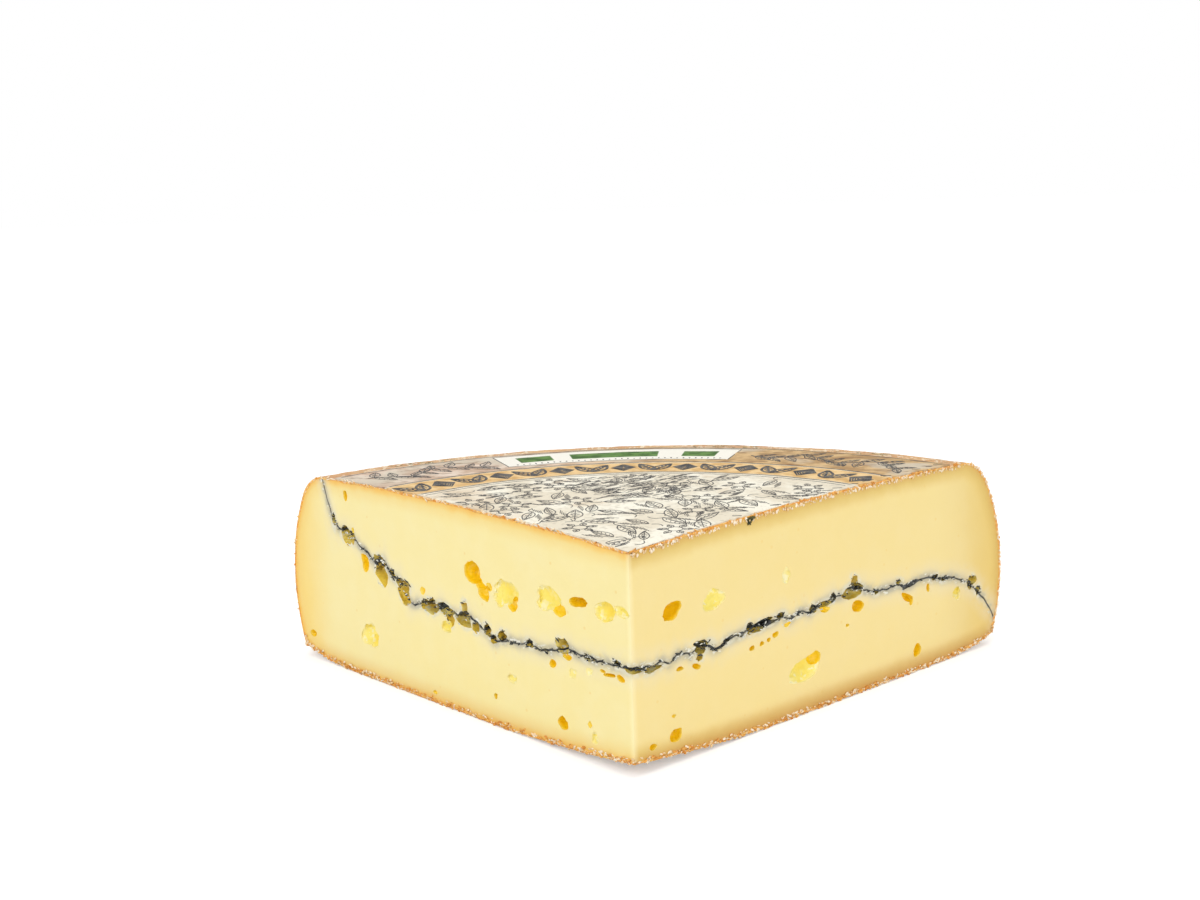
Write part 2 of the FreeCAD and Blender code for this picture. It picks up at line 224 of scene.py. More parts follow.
def smooth_noise(points, size, seed):
    """Noise from -1 to 1 whose lumps are that size."""
    scaled = np.asarray(points, float) / size + 1000
    low = np.floor(scaled).astype(np.int64)
    part = smooth_step(scaled - low)
    total = np.zeros(scaled.shape[:-1])
    for corner in np.ndindex(2, 2, 2):
        x, y, z = np.moveaxis(low + corner, -1, 0)
        mixed = x * 73856093 ^ y * 19349663 ^ z * 83492791 ^ (seed + 1) * 6542989
        mixed = (mixed ^ (mixed >> 13)) * 1274126177 & 0x7FFFFFFF
        mixed = (mixed ^ (mixed >> 15)) & 0xFFFF
        total += np.prod(np.where(corner, part, 1 - part), axis=-1) * (mixed / 32767.5 - 1)
    return total


def smooth_step(share):
    share = np.clip(share, 0, 1)
    return share * share * (3 - 2 * share)


def bell(value, up, middle, width):
    return up * np.exp(-(((value - middle) / width) ** 2))


def step(value, up, middle, width):
    return up / (1 + np.exp((middle - value) / width))


# ---------- course of the ash

ASH_HEIGHT = 32.4
# Kinks that the cut faces show beyond the CAD's smooth course: height, place out, width.
LEFT_KINKS = [
    (0.8, 6, 2.5), (-0.8, 20, 5), (0.7, 28, 3), (-1.2, 38, 5), (0.7, 55, 3), (-1.6, 63, 2), (1.8, 74, 5),
    (1.0, 89, 4), (-1.9, 106.5, 3), (1.6, 113.5, 2.5), (2.9, 122, 2.6), (-1.1, 128.5, 3), (1.0, 139, 3),
    (1.6, 143.5, 3),
]
RIGHT_KINKS = [
    (-1.4, 7, 3), (-1.5, 15, 2.2), (-1.6, 24, 2.5), (-1.9, 35, 3.5), (0.7, 49, 2), (0.7, 63, 2),
    (-1.2, 68, 3), (-1.3, 77, 2), (0.6, 88, 2.5), (1.4, 98, 4), (-1.0, 110, 4), (0.7, 121, 2),
    (-0.7, 126, 3), (-1.4, 145, 5), (-0.7, 153, 4),
]
JAGS = [(0.35, 4.0, 11), (0.35, 1.6, 12)]  # height, size, seed of the raggedness
FACE_REACH = 14.0  # how far behind a cut its kinks fade away


def ash(out, turn, ragged=True):
    """Height of the middle of the ash layer."""
    out, turn = np.broadcast_arrays(np.asarray(out, float), np.asarray(turn, float))
    share = out / RADIUS
    left = HEIGHT * (bell(share, -0.047, 0.32, 0.08) + step(share, 0.144, 0.627, 0.025)
                     + step(share, 0.32, 0.866, 0.013)) + 0.27 * np.maximum(out - 0.68 * RADIUS, 0)
    sag = np.clip((share - 0.557) / 0.443, 0, None)
    right = HEIGHT * (bell(share, 0.032, 0.457, 0.156) - 0.42 * sag**5)
    waves = sum(np.sin(2 * math.pi * share / length + 5.0 * turn) for length in (0.37, 0.23))
    waves = waves * 0.007 * HEIGHT * smooth_step(share / 0.2)
    across = smooth_step(turn)
    by_left, by_right = (np.exp(-((behind / FACE_REACH) ** 2)) for behind in behind_cuts(out, turn))
    left_kinks = sum(bell(out, *kink) for kink in LEFT_KINKS) * by_left
    right_kinks = sum(bell(out, *kink) for kink in RIGHT_KINKS) * by_right * smooth_step(out / 4)
    course = ASH_HEIGHT + left * (1 - across) + right * across + waves + left_kinks + right_kinks
    if not ragged:
        return course
    spots = place(out, turn, 0.0)
    return course + sum(up * smooth_noise(spots, size, seed) for up, size, seed in JAGS)


def ash_half(out, turn):
    """Half the layer's thickness, measured upwards."""
    slope = (ash(out + 0.6, turn) - ash(out - 0.6, turn)) / 1.2
    spots = place(out, turn, 0.0)
    swell = np.maximum(smooth_noise(spots, 7.0, 21) + 0.05, 0) ** 1.7 * 1.15
    thick = 0.12 + swell + 0.10 * smooth_noise(spots, 1.4, 22)
    return np.clip(thick, 0.08, 1.1) * np.sqrt(1 + np.minimum(slope**2, 9))


# ---------- meshes


def new_object(name, data):
    made = bpy.data.objects.new(name, data)
    bpy.context.scene.collection.objects.link(made)
    return made


def make_piece(name, points, faces, materials, face_materials=None):
    """A piece from points in millimetres and faces as rows of point numbers."""
    mesh = bpy.data.meshes.new(name)
    mesh.from_pydata((np.asarray(points) * MM).tolist(), [], faces)
    for material in materials:
        mesh.materials.append(material)
    if face_materials is not None:
        mesh.polygons.foreach_set("material_index", np.asarray(face_materials, np.int32))
    mesh.polygons.foreach_set("use_smooth", np.ones(len(mesh.polygons), bool))
    return new_object(name, mesh)


def finish_piece(piece, slot, *nodes):
    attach(piece, "root")
    if nodes:
        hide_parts(*nodes)


def icosphere(subdivisions):
    """Points and faces of a ball of radius 1."""
    shape = bmesh.new()
    bmesh.ops.create_icosphere(shape, subdivisions=subdivisions, radius=1)
    points = np.array([vertex.co for vertex in shape.verts])
    faces = [[vertex.index for vertex in face.verts] for face in shape.faces]
    shape.free()
    return points, faces


def weld(piece, distance=0.002):
    """Merges points that lie together and turns the faces outwards."""
    shape = bmesh.new()
    shape.from_mesh(piece.data)
    bmesh.ops.remove_doubles(shape, verts=shape.verts, dist=distance * MM)
    bmesh.ops.recalc_face_normals(shape, faces=shape.faces)
    shape.to_mesh(piece.data)
    shape.free()


def set_fields(piece, **fields):
    for name, values in fields.items():
        field = piece.data.attributes.new(name, "FLOAT", "POINT")
        field.data.foreach_set("value", np.asarray(values, np.float32))


def points_of(piece):
    points = np.zeros(len(piece.data.vertices) * 3, np.float32)
    piece.data.vertices.foreach_get("co", points)
    return points.reshape(-1, 3) / MM


def numbered(grid, start=0):
    """The numbers of a grid's points, in the grid's shape."""
    return start + np.arange(grid[..., 0].size).reshape(grid.shape[:-1])


def grid_faces(numbers, flip=False):
    """Quads between neighbouring entries of a grid of point numbers."""
    quads = np.stack((numbers[:-1, :-1], numbers[1:, :-1], numbers[1:, 1:], numbers[:-1, 1:]), -1)
    quads = quads.reshape(-1, 4)
    return (quads[:, ::-1] if flip else quads).tolist()


def last_place(low, high, turn, thinnest):
    """How far out a slab reaches at that turn."""
    outs = np.linspace(RADIUS / 2, RADIUS, 3000)
    thin = np.nonzero(high(outs, turn) - low(outs, turn) < thinnest)[0]
    return outs[thin[0]] if len(thin) else RADIUS - RIND


def slab(name, low, high, rows, relief, materials, column=0.8, thinnest=0.5):
    """A closed body between two height fields, from the axis outwards and from cut to cut."""
    fine_width, fine_columns = 14, int(34 * DETAIL)  # by the side the columns are finer
    plain_columns = int(RADIUS / column * DETAIL)
    shares = np.linspace(0, 1, 25)
    lows, highs, outs = [], [], []
    for turn in shares:
        end = last_place(low, high, turn, thinnest)
        outer = end - fine_width * (1 - np.linspace(0, 1, fine_columns)) ** 2
        out = np.concatenate((np.linspace(0, end - fine_width, plain_columns)[:-1], outer))
        bottom = low(out, turn)
        top = np.maximum(high(out, turn), bottom + thinnest)
        outs.append(out)
        lows.append(bottom)
        highs.append(top)
    points, faces = [], []

    def add(grid):
        start = sum(len(block) for block in points)
        points.append(grid.reshape(-1, 3))
        return numbered(grid, start)

    under_points, over_points = (place(outs, shares[:, None], heights) for heights in (lows, highs))
    rise = np.linspace(0, 1, rows + 1)[:, None]
    wall = under_points[:, -1] * (1 - rise[..., None]) + over_points[:, -1] * rise[..., None]
    for side, index in ((LEFT, 0), (RIGHT, -1)):
        height = lows[index] * (1 - rise) + highs[index] * rise
        out = np.repeat(outs[index][None, :], rows + 1, 0)
        face = place(out, side, height)
        depth = relief(out, height, side) * smooth_step(out / 1.6)
        face -= cut_normal(side) * depth[..., None]
        face[:, :, 1] += bell(out, 0.5, 0, 0.9)
        under_points[index] = face[0]
        over_points[index] = face[-1]
        wall[:, index] = face[:, -1]
        faces += grid_faces(add(face), side == RIGHT)
    faces += grid_faces(add(under_points), True)
    faces += grid_faces(add(over_points))
    faces += grid_faces(add(wall), True)
    piece = make_piece(name, np.concatenate(points), faces, materials)
    weld(piece)
    return piece


# ---------- node helpers


def colour(red, green, blue):
    """Linear colour from its 0-255 screen values."""
    levels = [value / 255 for value in (red, green, blue)]
    return [v / 12.92 if v <= 0.04045 else ((v + 0.055) / 1.055) ** 2.4 for v in levels] + [1.0]


class Paint:
    """A material's nodes, with short calls for the few kinds that are needed, and the tone made so far."""

    def __init__(self, name, roughness, specular):
        self.material = bpy.data.materials.new(name)
        self.material.use_nodes = True
        self.tree = self.material.node_tree
        self.shader = self.tree.nodes["Principled BSDF"]
        self.shader.inputs["Roughness"].default_value = roughness
        self.shader.inputs["Specular IOR Level"].default_value = specular
        self.where = self.node("TexCoord").outputs["Object"]
        self.tone = None

    def node(self, kind, inputs=None, **settings):
        """A new node. inputs maps a socket's name or number to a number or to another node's output."""
        made = self.tree.nodes.new("ShaderNode" + kind)
        for key, value in settings.items():
            setattr(made, key, value)
        for socket, value in (inputs or {}).items():
            self.feed(made.inputs[socket], value)
        return made

    def feed(self, socket, value):
        if isinstance(value, bpy.types.NodeSocket):
            self.tree.links.new(value, socket)
        else:
            socket.default_value = value

    def maths(self, operation, *values):
        return self.node("Math", dict(enumerate(values)), operation=operation).outputs[0]

    def times(self, first, *others):
        for other in others:
            first = self.maths("MULTIPLY", first, other)
        return first

    def plus(self, first, second):
        return self.maths("ADD", first, second)

    def fade(self, value, start, end, low=0.0, high=1.0):
        """Maps start..end to low..high and stays there outside."""
        numbers = dict(enumerate((value, start, end, low, high)))
        return self.node("MapRange", numbers, interpolation_type="SMOOTHSTEP").outputs[0]

    def ragged(self, value, size, reach):
        """A value that wanders by up to about that reach."""
        return self.plus(value, self.maths("MULTIPLY_ADD", self.noise(size), 2 * reach, -reach))

    def mix(self, share, first, second):
        return self.node("Mix", {0: share, 6: first, 7: second}, data_type="RGBA").outputs[2]

    def shades(self, share, first, second):
        """A mix of two screen colours."""
        return self.mix(share, colour(*first), colour(*second))

    def tint(self, share, *screen_colour):
        """Lays a screen colour over the tone."""
        self.tone = self.mix(share, self.tone, colour(*screen_colour))

    def field(self, name):
        return self.node("Attribute", attribute_name=name).outputs["Fac"]

    def stretched(self, x, y, z, where=None):
        scaling = {0: where or self.where, 1: (x, y, z)}
        return self.node("VectorMath", scaling, operation="MULTIPLY").outputs[0]

    def noise(self, size, detail=3, where=None, roughness=0.55, distortion=0.0):
        """Noise between about 0.2 and 0.8; size in millimetres."""
        return self.node("TexNoise", {
            "Vector": where or self.where, "Scale": 1 / (size * MM), "Detail": detail,
            "Roughness": roughness, "Distortion": distortion}).outputs[0]

    def patches(self, size, detail, start, end, low=0.0, high=1.0, **settings):
        """Noise, faded."""
        return self.fade(self.noise(size, detail, **settings), start, end, low, high)

    def cells(self, size):
        """Distance to the nearest of scattered points; size in millimetres."""
        return self.node("TexVoronoi", {"Vector": self.where, "Scale": 1 / (size * MM)}).outputs[0]

    def done(self, height=None, distance=0.0, strength=1.0):
        """Gives the shader the tone, and the height as a bump, and returns the material."""
        self.feed(self.shader.inputs["Base Color"], self.tone)
        if height:
            bump = self.node("Bump", {"Distance": distance * MM, "Strength": strength, "Height": height})
            self.feed(self.shader.inputs["Normal"], bump.outputs[0])
        return self.material


# ---------- materials


def paste_material():
    """Cut face of the paste: cream, darker towards the rind, greyed by the ash, with painted shade on the
    right face and painted highlights by the apex and the ash.
    """
    paint = Paint("paste_face", roughness=0.42, specular=0.4)
    near, halo, out = paint.field("ash_mm"), paint.field("halo_mm"), paint.field("out_mm")
    rim, outward = paint.ragged(paint.field("rim_mm"), 6, 1.0), paint.ragged(out, 14, 4.0)
    right = paint.fade(paint.field("turn"), 0.45, 0.55)
    paint.tone = paint.shades(paint.noise(45, 2), (250, 232, 158), (250, 236, 172))
    paint.tint(paint.patches(9, 3, 0.35, 0.75, 0, 0.3), 252, 240, 186)
    paint.tint(paint.fade(paint.cells(7.0), 0.10, 0.05, 0, 0.35), 242, 206, 110)
    # Painted shade: the right face is a little darker and warmer all over.
    paint.tint(paint.times(right, 0.42), 248, 214, 132)
    # Towards the side and the rind it turns yellow, then orange, and orange-brown towards the bottom. On the
    # right face, painted shade darkens all of this further.
    paint.tint(paint.fade(outward, 152, 178, 0, 0.85), 250, 214, 106)
    paint.tint(paint.times(right, paint.fade(outward, 138, 176, 0, 0.55)), 226, 194, 112)
    paint.tint(paint.fade(rim, 8, 1.5, 0, 0.6), 246, 210, 116)
    paint.tint(paint.times(right, paint.fade(rim, 7.5, 1.0, 0, 0.62)), 214, 178, 84)
    edge = paint.shades(right, (248, 190, 70), (226, 180, 90))
    paint.tone = paint.mix(paint.fade(rim, 3.6, 0.2, 0, 0.9), paint.tone, edge)
    low = paint.fade(paint.field("up_mm"), 9, 0, 0, 0.6)
    paint.tint(paint.times(low, paint.fade(right, 0, 1, 0.32, 1.0)), 206, 148, 76)
    # Painted highlight: a pale line down the apex edge, where the two cuts meet.
    paint.tint(paint.fade(out, 2.0, 0.3, 0, 0.35), 255, 248, 206)
    # By the ash it is pale, then grey, with smears and painted glints of light, and black in the seam
    # itself.
    smudge = paint.noise(6, 4, roughness=0.6, distortion=0.6)
    paint.tint(
        paint.times(paint.fade(halo, 8.0, 0.5), paint.fade(smudge, 0.3, 0.6, 0.3, 1.0), 0.5), 236, 225, 196)
    greyed = paint.times(
        paint.maths("POWER", paint.fade(halo, 4.6, 0.0), 2.0), paint.fade(smudge, 0.3, 0.6, 0.55, 0.95),
        paint.fade(out, 164, 148, 0.3, 1.0))
    paint.tint(greyed, 178, 172, 152)
    along = paint.stretched(1.0, 1.0, 2.2)
    smear = paint.times(paint.fade(near, 2.2, 0.5), paint.patches(4.5, 4, 0.47, 0.6, where=along), 0.7)
    paint.tint(smear, 188, 184, 162)
    # Painted highlights: near-white specks close to the ash.
    painted_glint = paint.times(paint.fade(near, 2.2, 0.8), paint.patches(2.4, 3, 0.59, 0.64, where=along), 0.8)
    paint.tint(painted_glint, 246, 245, 234)
    hollow = paint.fade(paint.field("hollow_mm"), 1.8, 0.5)
    paint.tint(paint.times(hollow, paint.patches(2.4, 3, 0.44, 0.56), 0.7), 230, 225, 200)
    paint.tint(paint.fade(near, 0.5, 0.12, 0, 0.8), 58, 60, 60)
    return paint.done(paint.plus(paint.noise(1.4, 4), paint.times(paint.noise(8, 2), 1.5)), 0.12, 0.5)


def eye_material():
    """Wall of an eye: glossy yellow, deeper the further in, with painted highlights in its shallow parts."""
    paint = Paint("eye_wall", roughness=0.28, specular=0.5)
    deep = paint.field("depth_mm")
    paint.tone = paint.shades(paint.fade(deep, 0.1, 1.4), (251, 238, 170), (255, 236, 116))
    paint.tint(paint.fade(deep, 1.5, 2.8), 255, 224, 60)
    # Painted highlights: near-white specks in the shallow parts of the eye.
    pale = paint.times(paint.patches(2.6, 3, 0.54, 0.6), paint.fade(deep, 2.4, 1.4), 0.75)
    paint.tint(pale, 255, 249, 206)
    return paint.done(paint.noise(1.6, 3), 0.3, 0.8)


def deep_eye_material():
    """Wall of a deep eye: golden orange nearly up to its mouth."""
    paint = Paint("eye_deep", roughness=0.3, specular=0.5)
    mouth = paint.fade(paint.field("depth_mm"), 0.2, 1.3)
    paint.tone = paint.shades(mouth, (255, 232, 104), (255, 216, 24))
    paint.tint(paint.patches(2.2, 3, 0.58, 0.68, 0, 0.35), 255, 238, 150)
    return paint.done(paint.noise(1.8, 3), 0.25, 0.7)


def hollow_material():
    """Wall of a hollow at the ash: olive, with a ceiling darkened by ash and by painted shade, black and
    grey by the seam.
    """
    paint = Paint("hollow_wall", roughness=0.36, specular=0.5)
    near = paint.field("ash_mm")
    facing = paint.node("SeparateXYZ", {0: paint.node("NewGeometry").outputs["Normal"]}).outputs[2]
    paint.tone = paint.shades(paint.patches(2.6, 4, 0.36, 0.64), (240, 204, 72), (252, 234, 142))
    paint.tint(paint.fade(near, 3.0, 4.8), 255, 222, 84)
    # Ash smears and painted shade: walls facing down, near the ash, are darkened.
    ceiling_shade_and_ash = paint.times(
        paint.fade(facing, 0.05, -0.6), paint.fade(near, 4.2, 2.0),
        paint.patches(1.9, 3, 0.36, 0.5, 0.4, 0.95))
    paint.tint(ceiling_shade_and_ash, 66, 58, 34)
    paint.tint(paint.times(paint.fade(near, 1.4, 0.4), paint.patches(1.8, 4, 0.42, 0.56)), 52, 54, 50)
    smear = paint.times(paint.fade(near, 2.6, 1.0), paint.patches(2.2, 3, 0.56, 0.63), 0.85)
    paint.tint(smear, 226, 228, 216)
    return paint.done(paint.noise(0.9, 3), 0.2, 0.7)


def ash_material():
    """The ash itself: blue-black, with brownish smears."""
    paint = Paint("ash_black", roughness=0.5, specular=0.5)
    paint.tone = paint.shades(paint.patches(1.8, 4, 0.4, 0.66), (30, 32, 33), (86, 90, 90))
    paint.tint(paint.patches(3.2, 2, 0.58, 0.7, 0, 0.5), 106, 96, 52)
    return paint.done(paint.noise(0.8, 4), 0.35)


def cloth_height(paint, where):
    """The mark of the pressing cloth: short crossing fibres, broken up and uneven."""
    fibres = []
    for stretch in ((0.22, 1.0, 1.0), (1.0, 0.22, 1.0)):
        along = paint.stretched(*stretch, where)
        fibres.append(paint.patches(1.5, 3, 0.5, 0.62, where=along, roughness=0.5, distortion=0.25))
    worn = paint.patches(9, 3, 0.34, 0.58, 0.35, 1.0, where=where)
    return paint.times(paint.maths("MAXIMUM", *fibres), worn)


def rind_material():
    """Natural rind: pale tan with cloth marks and green-black mould, pinker and dotted on the flats."""
    paint = Paint("rind_outer", roughness=0.72, specular=0.25)
    side = paint.node("CombineXYZ", {0: paint.field("around_m"), 1: paint.field("along_m")}).outputs[0]
    flat = paint.field("flatness")
    cloth = {0: flat, 2: cloth_height(paint, side), 3: cloth_height(paint, paint.where)}
    woven = paint.node("Mix", cloth, data_type="FLOAT").outputs[0]
    paint.tone = paint.shades(paint.patches(38, 4, 0.36, 0.62), (238, 200, 142), (247, 222, 170))
    paint.tint(paint.patches(15, 4, 0.52, 0.7, 0, 0.55), 230, 176, 112)
    paint.tint(paint.times(paint.field("edge"), paint.patches(12, 3, 0.35, 0.6, 0.3, 0.85)), 222, 150, 80)
    pinkish = paint.fade(paint.ragged(flat, 10, 0.7), 0.25, 0.9)
    paint.tint(paint.times(pinkish, paint.patches(24, 4, 0.4, 0.62, 0.55, 0.9)), 200, 150, 112)
    paint.tint(paint.fade(woven, 0.2, 0.9, 0, 0.62), 252, 238, 208)
    gaps = paint.times(paint.fade(woven, 0.2, 0.0), paint.patches(1.1, 3, 0.5, 0.62, 0, 0.5))
    paint.tint(gaps, 204, 146, 84)
    paint.tint(paint.times(flat, paint.fade(paint.cells(4.2), 0.16, 0.09, 0, 0.9)), 252, 240, 224)
    # Mould grows in colonies of specks, with a haze, and as scattered pepper.
    colony = paint.patches(23, 3, 0.47, 0.6, distortion=0.5)
    longer = paint.stretched(1.0, 1.0, 0.6)
    speck = paint.patches(1.9, 3, 0.555, 0.61, where=longer, roughness=0.7)
    paint.tint(paint.times(colony, speck, 0.9), 78, 84, 44)
    paint.tint(paint.times(colony, paint.patches(6, 3, 0.5, 0.68, 0, 0.4)), 170, 160, 104)
    pepper = paint.times(paint.fade(paint.cells(4.5), 0.15, 0.09), paint.patches(17, 2, 0.42, 0.6, 0.1, 0.9))
    paint.tint(pepper, 66, 76, 44)
    return paint.done(paint.plus(woven, paint.times(paint.noise(3.0, 4), 1.2)), 0.3, 0.8)


def rind_cut_material():
    """Edge of the rind where the knife went through it: orange-brown and crusty."""
    paint = Paint("rind_edge", roughness=0.6, specular=0.3)
    paint.tone = paint.shades(paint.patches(2.4, 4, 0.38, 0.62), (240, 162, 66), (250, 198, 108))
    paint.tint(paint.patches(1.3, 3, 0.55, 0.65, 0, 0.7), 252, 240, 220)
    paint.tint(paint.patches(5.0, 3, 0.62, 0.72, 0, 0.5), 188, 124, 68)
    return paint.done(paint.noise(0.8, 4), 0.3)


def crumb_material(name, dark, light, roughness):
    paint = Paint(name, roughness, specular=0.4)
    paint.tone = paint.shades(paint.patches(1.6, 3, 0.38, 0.62), dark, light)
    return paint.done(paint.noise(0.5, 3), 0.15, 0.8)


# The label's fields: distances from the axis, and turns from the middle (a cut is at 0.5).
BAND = (100.5, 118.0)
STRIP_TURNS, STRIP = (-0.24, 0.16), (124.0, 146.0)
BLOCK_TURNS, BLOCKS = [(-0.21, -0.15), (-0.12, 0.03), (0.07, 0.13)], (130, 141)
SOFT_TURN = 0.002  # how softly a field ends sideways


def label_material():
    """Printed paper: cream centre, ochre band, white strip with green blocks, mottled outer ring."""
    paint = Paint("label_paper", roughness=0.62, specular=0.25)
    parts = paint.node("SeparateXYZ", {0: paint.where}).outputs
    ahead = paint.maths("SUBTRACT", parts[1], AXIS_Y * MM)
    squares = paint.plus(paint.maths("POWER", parts[0], 2.0), paint.maths("POWER", ahead, 2.0))
    out = paint.times(paint.maths("SQRT", squares), 1 / MM)
    turn = paint.maths("DIVIDE", paint.maths("ARCTAN2", parts[0], ahead), 2 * HALF_ANGLE)

    def between(value, start, end, edge):
        return paint.times(paint.fade(value, start, start + edge), paint.fade(value, end - edge, end, 1, 0))

    def lay(share, other):
        paint.tone = paint.mix(share, paint.tone, other)

    tan = paint.shades(paint.patches(7, 4, 0.38, 0.62), (176, 140, 94), (218, 184, 132))
    pink = paint.shades(paint.patches(8, 4, 0.38, 0.62), (204, 176, 152), (232, 214, 196))
    paint.tone = paint.mix(paint.fade(turn, -0.3, 0.15), pink, tan)
    paint.tint(paint.patches(24, 3, 0.5, 0.66, 0, 0.8), 212, 202, 182)
    paint.tint(paint.patches(2.4, 4, 0.56, 0.64, 0, 0.7, where=paint.stretched(0.3, 1.0, 1.0)), 136, 98, 66)
    outer = paint.tone
    paint.tone = paint.shades(paint.patches(16, 3, 0.38, 0.62), (232, 222, 200), (248, 243, 226))
    paint.tint(paint.patches(2.2, 4, 0.5, 0.68, 0, 0.5), 196, 186, 166)
    lay(paint.fade(out, BAND[1], BAND[1] + 0.8), outer)
    ochre = paint.shades(paint.patches(5, 4, 0.35, 0.65), (212, 170, 108), (240, 206, 150))
    lay(between(out, *BAND, 0.6), ochre)
    paint.tint(paint.times(between(out, *STRIP, 0.4), between(turn, *STRIP_TURNS, SOFT_TURN)), 246, 242, 230)
    green = paint.shades(paint.patches(5, 4, 0.4, 0.6), (62, 100, 40), (100, 140, 66))
    for turns in BLOCK_TURNS:
        lay(paint.times(between(out, *BLOCKS, 0.4), between(turn, *turns, SOFT_TURN)), green)
    paint.tint(paint.patches(30, 4, 0.56, 0.72, 0, 0.4, distortion=0.6), 206, 168, 120)
    return paint.done(paint.plus(paint.noise(7, 3), paint.times(paint.noise(1.2, 3), 0.25)), 0.5, 0.6)


def ink_material():
    paint = Paint("label_ink", roughness=0.5, specular=0.3)
    paint.tone = paint.shades(paint.patches(3, 3, 0.4, 0.6), (58, 58, 60), (108, 104, 98))
    return paint.done()


# ---------- eyes, hollows

EYE, HOLLOW, DEEP_EYE = 1, 2, 3  # material numbers of the cavities' walls
# Eyes in the cut faces: place out and up, width, height, depth, tilt towards the side in degrees.
EYES = {
    LEFT: [
        (72.7, 48, 7.8, 7.4, 5, 0), (67.2, 43.4, 5, 6, 3.4, 25), (69.6, 45.4, 4, 4, 3, 30),
        (64.2, 45.2, 3.4, 2.6, 1.2, 0), (56.5, 44.9, 11.5, 9, 1.7, 0), (53.2, 41.8, 5.6, 4.6, 3.2, 0),
        (59.5, 42.6, 5, 6, 1.4, 0), (35.5, 46.6, 12.5, 8.4, 1.7, 0), (31, 44, 6, 4, 2.2, 0),
        (22.3, 48.2, 8, 3.4, 4.2, 6), (10.6, 47.6, 9, 6.6, 2.2, 20), (3.6, 48.7, 5.8, 3.4, 1.4, -10),
        (132.8, 16.2, 10.5, 8.4, 1.7, 30), (130.5, 14, 5, 5, 2.2, 0), (169.6, 9, 4.2, 2.4, 2, 0),
        (31.4, 9, 5, 4, 3, 0), (142.9, 63.5, 2.4, 4.2, 2, 10), (54.7, 17.7, 5, 2.8, 0.9, 0),
        (63.5, 10, 1.8, 2, 1.5, 0), (35, 26.8, 3.2, 2.6, 2.4, 20), (28, 30.2, 4, 2, 2, 0),
        (26, 25.6, 4, 3.6, 0.9, 0), (18.5, 28, 3, 2.4, 0.7, 0), (96, 3.6, 2.2, 1.2, 1.2, 0),
        (17, 8, 3, 3.4, 1.2, 0), (19, 11.5, 1.8, 2, 1, 0), (133, 41.4, 4.2, 7, 3, 12),
        (88, 27.6, 6, 4.2, 1.4, 0), (100, 37.4, 2.6, 3, 1.2, -20), (9.5, 28.9, 5, 1.4, 1.8, 8),
        (5, 28.9, 3.6, 2, 2, -15), (12.5, 29.4, 2.2, 1.2, 1.4, 0), (139.5, 51.4, 1.5, 3, 1, 8),
    ],
    RIGHT: [
        (16.5, 46.2, 8, 5.2, 4.5, 22), (33.4, 45.9, 9.6, 6.2, 1.5, 8), (74.6, 15.3, 13.5, 7.4, 1.9, 12),
        (79, 17, 5, 4.6, 2.6, 12), (17, 8.5, 5.4, 4.6, 3.5, 0), (7.4, 7.5, 3, 2.2, 2, 0),
        (131.6, 7.4, 4.2, 4.4, 3, 0), (153.6, 22.8, 4.4, 5.6, 1.9, -8), (66, 47, 4, 5, 0.7, 0),
        (19.2, 28.3, 3.4, 1.3, 1.6, 0), (26, 27.3, 3.8, 1.7, 2.2, -24), (50, 27.3, 2.3, 1.8, 2.2, 0),
        (54.4, 27.7, 2.4, 1.4, 1.5, 8), (57.7, 28.2, 2, 1.4, 1.5, 10), (60.6, 29.2, 3, 1.9, 1.8, 8),
        (16.2, 14.6, 1.5, 1.2, 1, 0), (126, 27.2, 7.6, 2.6, 2.6, -30), (128.2, 25.6, 2.2, 3.4, 2.6, 0),
        (137.4, 28.2, 1.9, 2.8, 1.8, 0), (100.4, 29.6, 6.4, 4.2, 3.4, -6), (66, 31.2, 3.6, 1.4, 0.9, 8),
        (95, 24.4, 1.6, 1, 1, 0), (84, 32, 5, 2, 1.4, -10),
    ],
}
